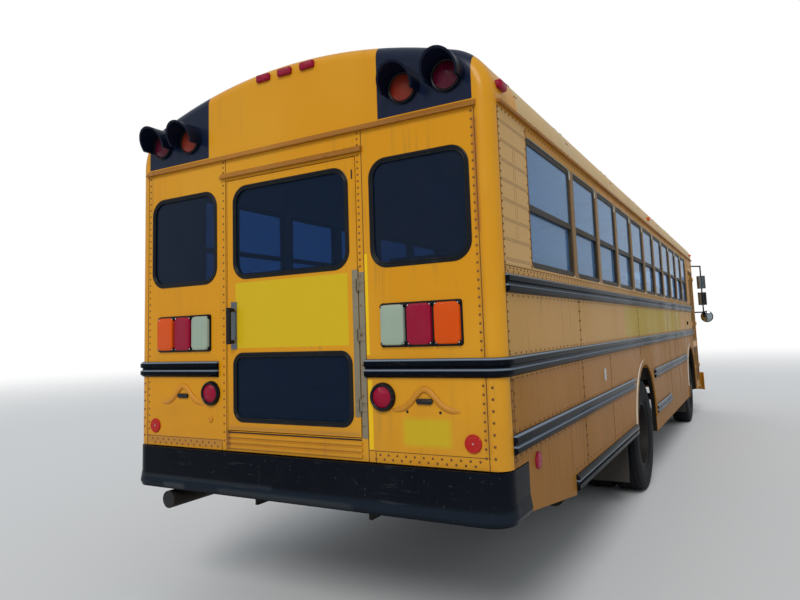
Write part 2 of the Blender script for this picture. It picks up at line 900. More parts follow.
SIDE_PAINT = Finish(
    "side_paint", (0.52, 0.215, 0.006, 1), CHALKY, (0.14, 0.07, 0.022, 1), 0.55, 1.3, 0.5, 0.85, 0.34, 0.3,
    specular=0.10, coat=0.0, scuff=0.10, scuff_colour=DRY_RUST, bump=0.10, waves=9.0, liner=WALL_LINER,
    under=Zone((-5.2, -1.216, 0.30), (5.2, 1.216, 1.12), (0.012, 0.011, 0.010, 1), 1.0, 0.002),
    zones=(
        both_sides(-0.1, 9.8, 0.300, 1.338, (0.22, 0.076, 0.002, 1), 0.55, 0.01),
        both_sides(-0.1, 9.8, 1.400, 1.880, (0.50, 0.34, 0.14, 1), 0.40, 0.01),
        both_sides(2.9, 7.1, 1.445, 1.712, (0.42, 0.30, 0.02, 1), 0.75, 0.01),
        both_sides(0.075, 0.475, 1.860, 2.62, (0.60, 0.38, 0.15, 1), 0.75, 0.004),
        both_sides(1.30, 8.47, 1.866, 2.574, (0.20, 0.125, 0.062, 1), 0.88, 0.003),
    ),
)
ROOF_PAINT = Finish(
    "roof_paint", (0.60, 0.37, 0.12, 1), (0.60, 0.47, 0.29, 1), GRIME, 0.6, 0.4, 0.0, 0.5, 0.34, 0.3,
    scuff=0.10, bump=0.06, waves=4.0, specular=0.15, liner=ROOF_LINER,
)
NOSE_PAINT = Finish(
    "nose_paint", YELLOW, SUNNED, GRIME, 0.4, 1.3, 0.45, 0.3, 0.30, 0.3, specular=0.20, coat=0.08, scuff=0.10,
    bump=0.05, waves=3.0, liner=END_LINER,
)
PLAIN_PAINT = Finish(
    "plain_paint", YELLOW, SUNNED, GRIME, 0.45, 1.2, 0.45, 0.3, 0.32, 0.3, specular=0.20, coat=0.06,
)
VENT_PAINT = Finish(
    "vent_paint", (0.60, 0.235, 0.006, 1), (0.42, 0.19, 0.02, 1), GRIME, 0.5, 1.3, 0.6, 0.2, specular=0.3,
)
PRESSED_PAINT = Finish(
    "pressed_paint", (0.34, 0.19, 0.06, 1), (0.44, 0.28, 0.12, 1), GRIME, 0.5, 0.4, 0.0, 0.5, 0.45,
)
RIVET_PAINT = Finish(
    "rivet_paint", (0.20, 0.075, 0.010, 1), (0.11, 0.045, 0.012, 1), (0.04, 0.02, 0.008, 1), 0.7, 1.3, 0.5, 0.7, 0.42,
    scuff=0.5, scuff_colour=RUST,
)
SEAM_DIRT = Finish(
    "seam_dirt", (0.10, 0.04, 0.012, 1), (0.06, 0.028, 0.012, 1), GRIME, 0.6, 1.3, 0.5, 0.3, 0.7,
)
RAIL_LIPS = tuple(
    Zone((-5.2, -1.4, low + lip), (5.2, 1.4, low + lip + 0.012), (0.27, 0.33, 0.42, 1), 0.72, 0.005)
    for low in RAIL_FEET
    for lip in (0.030, 0.078)
)
BLACK_GLOSS = Finish(
    "black_gloss", BLACK, (0.006, 0.007, 0.011, 1), DUST, 0.4, 1.0, 0.04, 0.05, 0.16, 0.3, specular=0.03,
    scuff=0.20, scuff_colour=(0.08, 0.078, 0.075, 1), bump=0.05, waves=3.0,
)
RAIL_BLACK = replace(
    BLACK_GLOSS, name="rail_black", colour=(0.0025, 0.004, 0.007, 1), faded=(0.004, 0.006, 0.010, 1), soiling=0.03,
    zones=RAIL_LIPS,
)
BUMPER_BLACK = Finish(
    "bumper_black", (0.002, 0.0035, 0.007, 1), (0.004, 0.007, 0.012, 1), (0.02, 0.022, 0.026, 1), 0.5, 0.95, 0.25,
    0.06, 0.14, 0.35, specular=0.05, scuff=0.25, scuff_scale=7.0, scuff_colour=(0.08, 0.08, 0.08, 1),
    bump=0.06, waves=6.0,
    zones=(
        Zone((-5.1, -1.30, 0.690), (-4.80, 1.30, 0.765), (0.014, 0.021, 0.033, 1), 0.55, 0.02),
        Zone((-5.1, 0.10, 0.742), (-4.90, 1.25, 0.772), (0.07, 0.085, 0.10, 1), 0.45, 0.025),
        Zone((-5.1, -1.32, 0.700), (-4.86, -1.235, 0.765), (0.30, 0.27, 0.25, 1), 0.62, 0.035),
        Zone((-5.1, -0.42, 0.690), (-4.90, 0.52, 0.735), (0.12, 0.13, 0.125, 1), 0.34, 0.035),
        Zone((-5.1, 0.76, 0.690), (-4.90, 0.96, 0.735), (0.14, 0.15, 0.15, 1), 0.34, 0.03),
    ),
)
HOOD_BLACK = Finish(
    "hood_black", (0.003, 0.006, 0.018, 1), (0.005, 0.009, 0.022, 1), DUST, 0.5, 0.3, 0.0, 0.10, 0.24, 0.3,
    specular=0.12, scuff=0.12, scuff_colour=(0.08, 0.08, 0.085, 1),
)
DRIP_BROWN = Finish(
    "drip_brown", (0.30, 0.115, 0.012, 1), (0.40, 0.17, 0.02, 1), (0.06, 0.03, 0.012, 1), 0.7, 0.4, 0.0, 0.8, 0.5, 0.3,
    specular=0.3, scuff=0.45, scuff_colour=(0.08, 0.04, 0.018, 1), bump=0.15,
)
CHASSIS_BLACK = Finish(
    "chassis_black", (0.008, 0.008, 0.008, 1), (0.018, 0.016, 0.014, 1), (0.045, 0.038, 0.03, 1), 0.6, 1.2, 0.3, 0.3,
    0.6, specular=0.15, scuff=0.25, scuff_colour=RUST, bump=0.2,
)
CAST_IRON = Finish(
    "cast_iron", (0.07, 0.066, 0.062, 1), (0.10, 0.08, 0.06, 1), GRIME, 0.5, 1.0, 0.5, 0.3, 0.55, metallic=0.6,
    scuff=0.25, scuff_colour=RUST, bump=0.3,
)
ALLOY = Finish(
    "window_alloy", (0.030, 0.024, 0.018, 1), (0.085, 0.062, 0.038, 1), (0.02, 0.012, 0.006, 1), 0.5, 0.4, 0.0, 0.6,
    0.42, specular=0.10, scuff=0.25, scuff_colour=(0.13, 0.09, 0.05, 1), bump=0.08,
)
BRIGHT_STEEL = Finish(
    "bright_steel", (0.55, 0.55, 0.54, 1), (0.38, 0.36, 0.33, 1), GRIME, 0.5, 0.8, 0.3, 0.3, 0.3, metallic=0.9,
    scuff=0.25, scuff_colour=RUST, bump=0.05,
)
GALVANISED = Finish(
    "grey_strip", (0.26, 0.24, 0.17, 1), (0.20, 0.155, 0.10, 1), RUST, 0.7, 0.6, 0.2, 0.6, 0.5, metallic=0.3,
    scuff=0.45, scuff_colour=RUST, bump=0.1,
)
HANDLE_STEEL = Finish(
    "handle_steel", (0.16, 0.18, 0.20, 1), (0.06, 0.065, 0.07, 1), GRIME, 0.7, 0.8, 0.3, 0.4, 0.3, metallic=0.8,
    scuff=0.4, scuff_colour=(0.03, 0.03, 0.03, 1), bump=0.1,
)
EXHAUST_STEEL = Finish(
    "exhaust_steel", (0.012, 0.010, 0.009, 1), (0.022, 0.013, 0.009, 1), (0.05, 0.04, 0.03, 1), 0.8, 1.0, 0.4, 0.3,
    0.6, metallic=0.5, scuff=0.3, scuff_colour=RUST, bump=0.3,
)
RUBBER = Finish(
    "gasket_rubber", (0.003, 0.004, 0.006, 1), (0.008, 0.009, 0.011, 1), (0.05, 0.045, 0.04, 1), 0.5, 0.5, 0.0, 0.25,
    0.30, 0.3, specular=0.2, scuff=0.22, scuff_colour=(0.11, 0.105, 0.095, 1), bump=0.1,
)
FLAP_RUBBER = Finish(
    "flap_rubber", (0.010, 0.010, 0.010, 1), (0.025, 0.022, 0.02, 1), (0.10, 0.085, 0.07, 1), 0.6, 1.2, 0.5, 0.4, 0.65,
    specular=0.3, bump=0.2,
)
TYRE_RUBBER = Finish(
    "tyre_rubber", (0.003, 0.004, 0.007, 1), (0.008, 0.009, 0.012, 1), (0.03, 0.028, 0.027, 1), 0.6, 1.1, 0.30, 0.15,
    0.6, 0.2, specular=0.08, scuff=0.2, scuff_colour=(0.045, 0.042, 0.040, 1), bump=0.15,
)
RIM_BLACK = Finish(
    "rim_black", (0.006, 0.006, 0.008, 1), (0.018, 0.016, 0.015, 1), (0.06, 0.05, 0.042, 1), 0.6, 1.1, 0.3, 0.2, 0.4,
    specular=0.1, scuff=0.15, scuff_colour=RUST, bump=0.08,
)
FLOOR_RUBBER = Finish(
    "floor_rubber", (0.018, 0.018, 0.019, 1), (0.04, 0.039, 0.037, 1), DUST, 0.5, 1.6, 0.3, 0.0, 0.7, specular=0.3,
    bump=0.3, grain=160.0,
)
DASH_PLASTIC = Finish(
    "dash_plastic", (0.018, 0.018, 0.020, 1), (0.04, 0.04, 0.042, 1), DUST, 0.4, 0.5, 0.1, 0.0, 0.55, bump=0.25,
    grain=900.0,
)
BENCH_VINYL = Finish(
    "bench_vinyl", (0.016, 0.042, 0.028, 1), (0.035, 0.065, 0.048, 1), (0.05, 0.05, 0.045, 1), 0.5, 0.5, 0.1, 0.0,
    0.42, scuff=0.2, scuff_colour=(0.07, 0.10, 0.07, 1), scuff_scale=26.0, grain=700.0, bump=0.2,
)
SIGN_RED = Finish(
    "sign_red", (0.46, 0.012, 0.015, 1), (0.42, 0.05, 0.04, 1), GRIME, 0.4, 0.6, 0.1, 0.3, 0.35, coat=0.3,
)
SIGN_WHITE = Finish("sign_white", (0.72, 0.72, 0.70, 1), (0.6, 0.6, 0.55, 1), GRIME, 0.4, 0.6, 0.1, 0.3, 0.4)
MIRROR_SILVER = Finish(
    "mirror_silver", (0.36, 0.41, 0.43, 1), (0.30, 0.34, 0.35, 1), DUST, 0.2, 0.5, 0.1, 0.1, 0.04, 0.1, metallic=1.0,
    scuff=0.03, bump=0.0,
)
HOLE_BLACK = Finish("hole_black", (0.002, 0.002, 0.003, 1), (0.005, 0.005, 0.005, 1), DUST, 0.3, 0.4, 0.1, 0.0, 0.5)
SIDE_GLASS = Glass(
    "side_glass", (0.26, 0.52, 0.88, 1), 0.80, 0.03, 1.22, 0.03, rear_colour=(0.018, 0.045, 0.11, 1),
)
REAR_GLASS = Glass("rear_glass", (0.035, 0.08, 0.18, 1), 0.88, 0.02, 1.15, 0.01)
SCREEN_GLASS = Glass("screen_glass", (0.50, 0.58, 0.60, 1), dust=0.08)
RED_LENS = Glass("red_lens", (0.32, 0.002, 0.030, 1), 0.10, 0.14, 1.25, 0.02, 0.5, 70.0)
AMBER_LENS = Glass("amber_lens", (0.74, 0.085, 0.001, 1), 0.10, 0.14, 1.25, 0.02, 0.5, 70.0)
CLEAR_LENS = Glass("clear_lens", (0.36, 0.46, 0.36, 1), 0.12, 0.16, 1.25, 0.2, 0.5, 70.0)
BRIGHT_LENS = Glass("bright_lens", (0.48, 0.012, 0.010, 1), 0.10, 0.14, 1.25, 0.04, 0.5, 70.0)
DEEP_RED_LENS = Glass("deep_red_lens", (0.09, 0.003, 0.018, 1), 0.15, 0.10, 1.3, 0.06, 0.3, 60.0)
DEEP_AMBER_LENS = Glass("deep_amber_lens", (0.24, 0.022, 0.008, 1), 0.15, 0.10, 1.3, 0.06, 0.3, 60.0)
HEAD_LENS = Glass("head_lens", (0.75, 0.78, 0.78, 1), 0.6, 0.05, dust=0.10, flutes=0.4, flute_scale=50.0)


class Palette:
    """The bus's finishes, each made into a material once."""

    def __init__(self) -> None:
        """Build the shared shader groups."""
        self.effects = Effects()
        self.made: dict[str, bpy.types.Material] = {}

    def of(self, *finishes: Finish | Glass) -> list[bpy.types.Material]:
        """Give the materials of some finishes.

        Args:
            finishes: the finishes wanted.

        Returns:
            Their materials in order.
        """
        for finish in finishes:
            if finish.name not in self.made:
                self.made[finish.name] = finish.build(self.effects)
        return [self.made[finish.name] for finish in finishes]


@dataclass
class Paintwork:
    """Finishes of the construction's own nodes."""

    palette: Palette
    coats: dict[Finish | Glass, tuple[str, ...]] = field(
        default_factory=lambda: {
            REAR_PAINT: ("rear_wall",),
            DOOR_PAINT: ("emergency_door",),
            CAP_PAINT: ("rear_cap",),
            FRONT_CAP_PAINT: ("front_cap",),
            SIDE_PAINT: ("side_wall_left", "side_wall_right"),
            ROOF_PAINT: ("roof", "roof_hatch_front", "roof_hatch_rear"),
            NOSE_PAINT: ("nose_wall",),
            PLAIN_PAINT: ("entrance_leaf_front", "entrance_leaf_rear", "front_bumper"),
            RAIL_BLACK: ("rub_rails",),
            BLACK_GLOSS: ("grille", "mirrors"),
            BUMPER_BLACK: ("rear_bumper",),
            HOOD_BLACK: ("lamp_hoods",),
            DRIP_BROWN: ("drip_mouldings",),
            CHASSIS_BLACK: (
                "frame_rails", "front_axle_beam", "tie_rod", "propeller_shaft", "leaf_springs", "fuel_tank",
            ),
            CAST_IRON: ("knuckle_left", "knuckle_right", "rear_axle_housing", "engine_block"),
            EXHAUST_STEEL: ("exhaust",),
            ALLOY: ("window_sashes",),
            SIDE_GLASS: ("window_glass", "entrance_glass_front", "entrance_glass_rear"),
            REAR_GLASS: ("emergency_door_glass",),
            SCREEN_GLASS: ("windscreen",),
            TYRE_RUBBER: ("tyre_front_left", "tyre_front_right", "tyres_rear_left", "tyres_rear_right"),
            RIM_BLACK: ("rim_front_left", "rim_front_right", "rims_rear_left", "rims_rear_right"),
            FLAP_RUBBER: ("mud_flaps",),
            FLOOR_RUBBER: ("floor", "wheelhouses", "step_well"),
            DASH_PLASTIC: ("dashboard", "engine_cover", "steering_wheel"),
            BENCH_VINYL: ("benches", "driver_seat"),
            RED_LENS: ("tail_lamps",),
            SIGN_WHITE: ("stop_arm",),
            DEEP_RED_LENS: ("warning_lamps",),
            AMBER_LENS: ("marker_lamps",),
            HEAD_LENS: ("headlamps",),
        }
    )

    def build(self) -> None:
        """Dress every node."""
        for finish, names in self.coats.items():
            material = self.palette.of(finish)[0]
            for name in names:
                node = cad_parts[name]
                for place in node.material_slots:
                    place.material = material
        log.info("finishes on %d nodes", sum(len(names) for names in self.coats.values()))


# The body's small parts


@dataclass
class BodyShape:
    """Sizes of the shell that its fittings lie on."""

    rear: float = at(0.0)
    crown: float = 3.107
    crown_radius: float = 3.100
    shoulder_radius: float = 0.280
    axles: tuple[float, float] = (3.730, 8.200)
    arch_centre: float = 0.605
    arch_reach: float = 0.625
    window_foot: float = 1.862
    window_top: float = 2.577
    windows_start: float = 0.480
    windows_end: float = 8.460
    driver_window: tuple[float, float] = (8.52, 9.34)
    doorway: tuple[float, float] = (8.795, 9.545)
    doorway_top: float = 2.53

    def roof_at(self, y: float) -> tuple[Point, Point]:
        """Give a point of the roof's cross-section and its normal.

        Args:
            y: distance from the middle.

        Returns:
            The point and the normal, both with X at 0.
        """
        centre = self.crown - self.crown_radius
        hip = HALF_WIDTH - self.shoulder_radius
        reach = self.crown_radius - self.shoulder_radius
        hip_height = centre + math.sqrt(reach**2 - hip**2)
        if abs(y) * reach <= hip * self.crown_radius:
            height = centre + math.sqrt(self.crown_radius**2 - y * y)
            return (0.0, y, height), (0.0, y / self.crown_radius, (height - centre) / self.crown_radius)
        side = math.copysign(1.0, y)
        out = min(abs(y) - hip, self.shoulder_radius)
        rise = math.sqrt(self.shoulder_radius**2 - out**2)
        return (0.0, y, hip_height + rise), (0.0, side * out / self.shoulder_radius, rise / self.shoulder_radius)

    def has_metal(self, station: float, height: float, side: Side) -> bool:
        """Tell whether the side panel is whole at a place.

        Args:
            station: distance from the rear panel.
            height: height above the ground.
            side: the side looked at.

        Returns:
            Whether there is panel there.
        """
        for axle in self.axles:
            if math.hypot(station - axle, height - self.arch_centre) < self.arch_reach:
                return False
            if abs(station - axle) < self.arch_reach and height < self.arch_centre:
                return False
        if self.window_foot < height < self.window_top and self.windows_start < station < self.windows_end:
            return False
        if side is Side.KERB:
            return not (self.doorway[0] < station < self.doorway[1] and height < self.doorway_top)
        beside_driver = self.driver_window[0] < station < self.driver_window[1]
        return not (beside_driver and self.window_foot < height < self.window_top)


@dataclass
class Rivets:
    """Domed rivet heads over the shell.

    A rear column is (y, low, high, pitch), a rear row (height, shift, pitch), a side column (station, low, high,
    pitch) and a side row (height, start, end, pitch).
    """

    palette: Palette
    shape: BodyShape
    radius: float = 0.0068
    height: float = 0.0030
    sides: int = 6
    rear_columns: tuple[tuple[float, float, float, float], ...] = (
        (1.117, 0.985, 2.60, 0.040), (-1.117, 0.985, 2.60, 0.040), (-1.160, 0.985, 1.33, 0.052),
        (1.160, 0.985, 1.33, 0.052), (0.484, 0.985, 2.48, 0.046), (-0.470, 1.90, 2.48, 0.034),
        (-0.470, 1.10, 1.86, 0.150),
        (0.484, 2.535, 2.60, 0.030), (-0.470, 2.535, 2.60, 0.030),
    )
    rear_rows: tuple[tuple[float, float, float], ...] = ((0.947, 0.0, 0.048), (0.968, 0.024, 0.048))
    side_columns: tuple[tuple[float, float, float, float], ...] = (
        (0.088, 0.96, 1.72, 0.045), (0.088, 1.83, 2.60, 0.036), (0.468, 1.87, 2.60, 0.048), (0.120, 0.96, 1.33, 0.060),
        (1.378, 0.63, 1.72, 0.060), (1.402, 0.63, 1.72, 0.060), (2.24, 0.63, 1.33, 0.075), (3.59, 1.30, 1.72, 0.060),
        (5.69, 0.63, 1.72, 0.060), (6.60, 0.63, 1.72, 0.075), (7.52, 0.63, 1.72, 0.075), (8.50, 1.86, 2.60, 0.060),
        (9.36, 0.80, 1.72, 0.060),
    )
    side_rows: tuple[tuple[float, float, float, float], ...] = (
        (1.842, 0.09, 9.50, 0.052), (1.826, 0.116, 9.50, 0.075), (1.712, 0.09, 9.50, 0.075),
        (1.442, 0.09, 9.50, 0.075), (1.328, 0.09, 9.50, 0.075), (1.092, 0.09, 9.50, 0.075),
        (0.978, 0.09, 9.50, 0.075), (0.724, 1.10, 5.46, 0.090), (2.612, 0.09, 9.50, 0.050),
    )
    roof_seams: tuple[float, ...] = (0.392, 1.385, 2.765, 4.145, 5.525, 6.905, 8.285, 9.285)
    rear_gap: tuple[float, float] = (1.33, 1.44)
    rear_row_start: float = 0.535
    rear_row_length: float = 0.60
    arch_pitch: float = 0.085
    arch_radius: float = 0.582
    arch_proud: float = 0.010
    roof_half: float = 1.205
    roof_steps: int = 66
    lap: float = 0.013
    lift: float = 0.0015
    drip_start: float = 0.42
    drip_length: float = 9.0
    drip_height: float = 2.664

    def build(self) -> None:
        """Set all the rivets."""
        finish = self.palette.of(RIVET_PAINT)
        self._rear().finish("rear_rivets", "body", finish, "body_paint")
        for side in Side:
            self._side(side).finish(f"side_rivets_{side.name.lower()}", "body", finish, "body_paint")
        self._roof().finish("roof_rivets", "body", finish, "body_paint")

    def _head(self, form: Form, centre: Point, normal: Point) -> None:
        """Add one rivet's head."""
        form.dome(centre, normal, self.radius, self.height, self.sides, 2)

    def _rear(self) -> Form:
        """Set the rear wall's rows.

        Returns:
            The form.
        """
        form = Form()
        out = Facing.REAR.value
        for y, low, high, pitch in self.rear_columns:
            for step in range(int((high - low) / pitch) + 1):
                height = low + step * pitch
                if not (self.rear_gap[0] < height < self.rear_gap[1] and abs(y) > 1.0):
                    self._head(form, (self.shape.rear, y, height), out)
        for height, shift, pitch in self.rear_rows:
            for side in (-1, 1):
                for step in range(int(self.rear_row_length / pitch)):
                    reach = self.rear_row_start + shift + step * pitch
                    self._head(form, (self.shape.rear, side * reach, height), out)
        return form

    def _side(self, side: Side) -> Form:
        """Set one side's rows and columns.

        Args:
            side: the side.

        Returns:
            The form.
        """
        form = Form()
        y = side.value * HALF_WIDTH
        normal = (0.0, float(side.value), 0.0)
        places = [
            (station, low + step * pitch)
            for station, low, high, pitch in self.side_columns
            for step in range(int((high - low) / pitch) + 1)
        ]
        places += [
            (start + step * pitch, height)
            for height, start, end, pitch in self.side_rows
            for step in range(int((end - start) / pitch) + 1)
        ]
        for station, height in places:
            on_rail = any(foot < height < foot + RAIL_TALL for foot in RAIL_FEET)
            if self.shape.has_metal(station, height, side) and not on_rail:
                self._head(form, (at(station), y, height), normal)
        for axle in self.shape.axles:
            count = int(math.pi * self.arch_radius / self.arch_pitch)
            for step in range(1, count):
                turn = math.pi * step / count
                x = at(axle) + self.arch_radius * math.cos(turn)
                z = self.shape.arch_centre + self.arch_radius * math.sin(turn)
                self._head(form, (x, y + side.value * self.arch_proud, z), normal)
        return form

    def _roof(self) -> Form:
        """Set the rows along the roof's seams and drips.

        Returns:
            The form.
        """
        form = Form()
        for station in self.roof_seams:
            for step in range(self.roof_steps + 1):
                y = -self.roof_half + 2 * self.roof_half * step / self.roof_steps
                point, normal = self.shape.roof_at(y)
                for shift in (-self.lap, self.lap):
                    self._head(form, (at(station + shift), point[1], point[2] + self.lift), normal)
        for side in (-1, 1):
            for step in range(int(self.drip_length / self.arch_pitch)):
                place = (at(self.drip_start + step * self.arch_pitch), side * HALF_WIDTH, self.drip_height)
                self._head(form, place, (0.0, side, 0.0))
        return form


@dataclass
class Seams:
    """Lapped panel edges, as thin raised strips with dirt along them.

    A rear line is (y, low, high) and a side line (station, low, high). The sill lines run level: the rear one as
    (inner y, outer y), the side one as (start, end on the driver's side, end on the kerb side).
    """

    palette: Palette
    shape: BodyShape
    thick: float = 0.0012
    width: float = 0.0035
    rear_lines: tuple[tuple[float, float, float], ...] = (
        (1.132, 0.93, 2.61), (-1.132, 0.93, 2.61), (0.464, 0.93, 2.49), (-0.494, 0.93, 2.49), (0.464, 2.53, 2.61),
        (-0.494, 2.53, 2.61), (0.5, 0.93, 0.985), (-0.535, 0.93, 0.985),
    )
    side_lines: tuple[tuple[float, float, float], ...] = (
        (0.076, 0.93, 2.62), (0.104, 0.93, 1.33), (1.390, 0.60, 1.72), (3.578, 1.25, 1.72), (5.702, 0.60, 1.72),
        (6.588, 0.60, 1.72), (7.508, 0.60, 1.33), (2.228, 0.60, 1.33), (9.348, 0.80, 1.72), (0.482, 1.86, 2.60),
    )
    doorway: tuple[float, float] = (8.79, 9.55)
    rear_sill: tuple[float, float] = (0.5, 1.14)
    rear_sill_z: tuple[float, float] = (0.984, 0.9865)
    side_sill: tuple[float, float, float] = (0.08, 9.5, 8.79)
    side_sill_z: tuple[float, float] = (1.8515, 1.8545)
    band_half: float = 0.024
    band_proud: float = 0.0016
    band_sink: float = 0.001
    band_reach: float = 1.2185
    band_steps: int = 60

    def build(self) -> None:
        """Lay the seams of the rear, sides and roof."""
        finish = self.palette.of(SEAM_DIRT)
        half = self.width / 2
        form = Form()
        x = self.shape.rear
        for y, low, high in self.rear_lines:
            form.block((x - self.thick, y - half, low), (x, y + half, high))
        low, high = self.rear_sill_z
        for side in (-1, 1):
            inner, outer = sorted(side * y for y in self.rear_sill)
            form.block((x - self.thick, inner, low), (x, outer, high))
        form.finish("rear_seams", "body", finish, "body_paint")
        start, driver_end, kerb_end = self.side_sill
        for side in Side:
            form = Form()
            inner, outer = sorted((side.value * HALF_WIDTH, side.value * (HALF_WIDTH + self.thick)))
            for station, low, high in self.side_lines:
                if side is Side.KERB and self.doorway[0] < station < self.doorway[1]:
                    continue
                form.block((at(station) - half, inner, low), (at(station) + half, outer, high))
            low, high = self.side_sill_z
            end = driver_end if side is Side.DRIVER else kerb_end
            form.block((at(start), inner, low), (at(end), outer, high))
            form.finish(f"side_seams_{side.name.lower()}", "body", finish, "body_paint")
        self._roof_bands()

    def _roof_bands(self) -> None:
        """Lay a lap band over each roof joint."""
        form = Form()
        back, ahead = Vector((-self.band_half, 0, 0)), Vector((self.band_half, 0, 0))
        for station in Rivets.roof_seams[1:-1]:
            rings = []
            for step in range(self.band_steps + 1):
                y = -self.band_reach + 2 * self.band_reach * step / self.band_steps
                point, normal = self.shape.roof_at(y)
                place = Vector((at(station), point[1], point[2]))
                sink, proud = Vector(normal) * self.band_sink, Vector(normal) * self.band_proud
                rings.append([place + back - sink, place + back + proud, place + ahead + proud, place + ahead - sink])
            form.sweep(rings)
        form.finish("roof_bands", "body", self.palette.of(ROOF_PAINT), "body_paint")


@dataclass
class Gaskets:
    """Black rubber round the rear and door windows, each (y, z, width, height, corner radius)."""

    palette: Palette
    shape: BodyShape
    half: float = 0.0078
    rear_windows: tuple[tuple[float, float, float, float, float], ...] = (
        (0.815, 2.1605, 0.540, 0.539, 0.090), (-0.815, 2.1605, 0.540, 0.539, 0.090),
    )
    door_windows: tuple[tuple[float, float, float, float, float], ...] = (
        (0.0, 2.163, 0.794, 0.524, 0.090), (0.0, 1.2825, 0.800, 0.365, 0.060),
    )

    def build(self) -> None:
        """Fit the gaskets."""
        for name, body, windows in (
            ("rear_gaskets", "body", self.rear_windows), ("door_gaskets", "emergency_door", self.door_windows),
        ):
            form = Form()
            for y, z, width, height, radius in windows:
                for grow, size, out in ((0.003, self.half, 0.0015), (-0.010, self.half * 0.7, 0.0005)):
                    loop = rounded_loop(width + 2 * grow, height + 2 * grow, radius + grow, 10)
                    form.tube([(self.shape.rear - out, y + a, z + b) for a, b in loop], size, 8, True, 0.5, (-1, 0, 0))
            form.finish(name, body, self.palette.of(RUBBER), "rubber_black")


@dataclass
class TailLamps:
    """Rear lens clusters, stop lamps and reflectors."""

    palette: Palette
    shape: BodyShape
    first: float = 0.590
    width: float = 0.140
    tall: float = 0.205
    gap: float = 0.008
    height: float = 1.595
    depth: float = 0.028
    screw_inset: float = 0.011
    stop_at: tuple[float, float] = (0.585, 1.246)
    stop_lens: float = 0.054
    stop_ring: Profile = ((0.0, 0.071), (0.010, 0.070), (0.020, 0.065), (0.022, 0.059), (0.018, 0.053), (0.0, 0.053))
    reflector_at: tuple[float, float] = (1.057, 1.046)
    reflector_radius: float = 0.042

    def build(self) -> None:
        """Make the lamps in the place of the plain ones."""
        form = Form()
        materials = self.palette.of(RUBBER, CLEAR_LENS, RED_LENS, AMBER_LENS, BRIGHT_STEEL, BRIGHT_LENS)
        for side in (-1, 1):
            for index in range(3):
                y = side * (self.first + self.width / 2 + index * (self.width + self.gap))
                self._lens(form, y, index + 1)
            self._sheet(form, side)
            self._stop(form, side)
            self._reflector(form, side)
        form.finish("rear_lamps", "body", materials, "red_lens", ("tail_lamps",))

    def _lens(self, form: Form, y: float, material: int) -> None:
        """Add one lens with its base and screws.

        Args:
            form: the form added to.
            y: the lens's middle.
            material: its lens's finish.
        """
        width, tall = self.width, self.tall
        out = Facing.REAR.value
        origin = (self.shape.rear, y, self.height)
        form.material = 0
        form.boss(origin, Facing.REAR, [
            (width + 0.006, tall + 0.006, 0.012, 0.0), (width + 0.006, tall + 0.006, 0.012, 0.006),
            (width - 0.004, tall - 0.004, 0.012, 0.008),
        ], 4)
        form.material = material
        form.boss(origin, Facing.REAR, [
            (width - 0.006, tall - 0.008, 0.026, 0.006), (width - 0.006, tall - 0.008, 0.026, 0.018),
            (width - 0.014, tall - 0.016, 0.024, 0.0245), (width - 0.036, tall - 0.040, 0.020, 0.0275),
            (width - 0.080, tall - 0.110, 0.014, self.depth),
        ], 6)
        post = [(0.004, 0.0), (0.004, 0.0125), (0.017, 0.0115), (0.019, 0.007), (0.0185, 0.0)]
        for across in (-1, 1):
            for rise in (-1, 1):
                screw_y = y + across * (width / 2 - self.screw_inset)
                screw_z = self.height + rise * (tall / 2 - self.screw_inset)
                form.material = 0
                form.lathe(post, (self.shape.rear, screw_y, screw_z), out, 12)
                form.material = 4
                form.dome((self.shape.rear - 0.0185, screw_y, screw_z), out, 0.004, 0.002, 8, 2)

    def _sheet(self, form: Form, side: int) -> None:
        """Add the flat sealing sheet behind a cluster.

        Args:
            form: the form added to.
            side: 1 for the driver's side, -1 for the kerb's.
        """
        form.material = 0
        middle = side * (self.first + 1.5 * self.width + self.gap)
        width = 3 * self.width + 2 * self.gap
        form.boss((self.shape.rear, middle, self.height), Facing.REAR, [
            (width + 0.012, self.tall + 0.012, 0.014, 0.0), (width + 0.012, self.tall + 0.012, 0.014, 0.002),
        ], 3)

    def _stop(self, form: Form, side: int) -> None:
        """Add a round stop lamp in its rubber ring.

        Args:
            form: the form added to.
            side: 1 for the driver's side, -1 for the kerb's.
        """
        y, z = self.stop_at
        origin = (self.shape.rear, side * y, z)
        form.material = 0
        form.lathe(self.stop_ring, origin, Facing.REAR.value, 40, True)
        form.material = 2
        lens = ribbed_dome(self.stop_lens, 0.012, 0.016, 15, 0.0009)
        form.lathe([(0.008, self.stop_lens), *lens, (0.028, 0.0)], origin, Facing.REAR.value, 40)

    def _reflector(self, form: Form, side: int) -> None:
        """Add a round reflector.

        Args:
            form: the form added to.
            side: 1 for the driver's side, -1 for the kerb's.
        """
        y, z = self.reflector_at
        radius, inner = self.reflector_radius, self.reflector_radius * 0.86
        form.material = 5
        profile = [(0.0, radius), (0.006, radius), (0.009, radius * 0.93), (0.0075, inner)]
        profile += [*ribbed_dome(inner, 0.008, 0.0, 9, 0.0007), (0.008, 0.0)]
        form.lathe(profile, (self.shape.rear, side * y, z), Facing.REAR.value, 32)
        form.material = 4
        form.dome((self.shape.rear - 0.008, side * y, z), Facing.REAR.value, 0.005, 0.003, 8, 2)


def node_reach(node: str, y: float, z: float, reach: float, ahead: float) -> float:
    """Give how far a node stands out near a point.

    Args:
        node: the node's name.
        y: the point's Y.
        z: the point's Z.
        reach: how far from the point corners count.
        ahead: 1 for its front half, -1 for its rear half.

    Returns:
        The X that lies furthest out there.
    """
    near = [
        corner.co.x * ahead
        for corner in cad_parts[node].data.vertices
        if math.hypot(corner.co.y - y, corner.co.z - z) < reach and corner.co.x * ahead > 0
    ]
    return max(near) * ahead


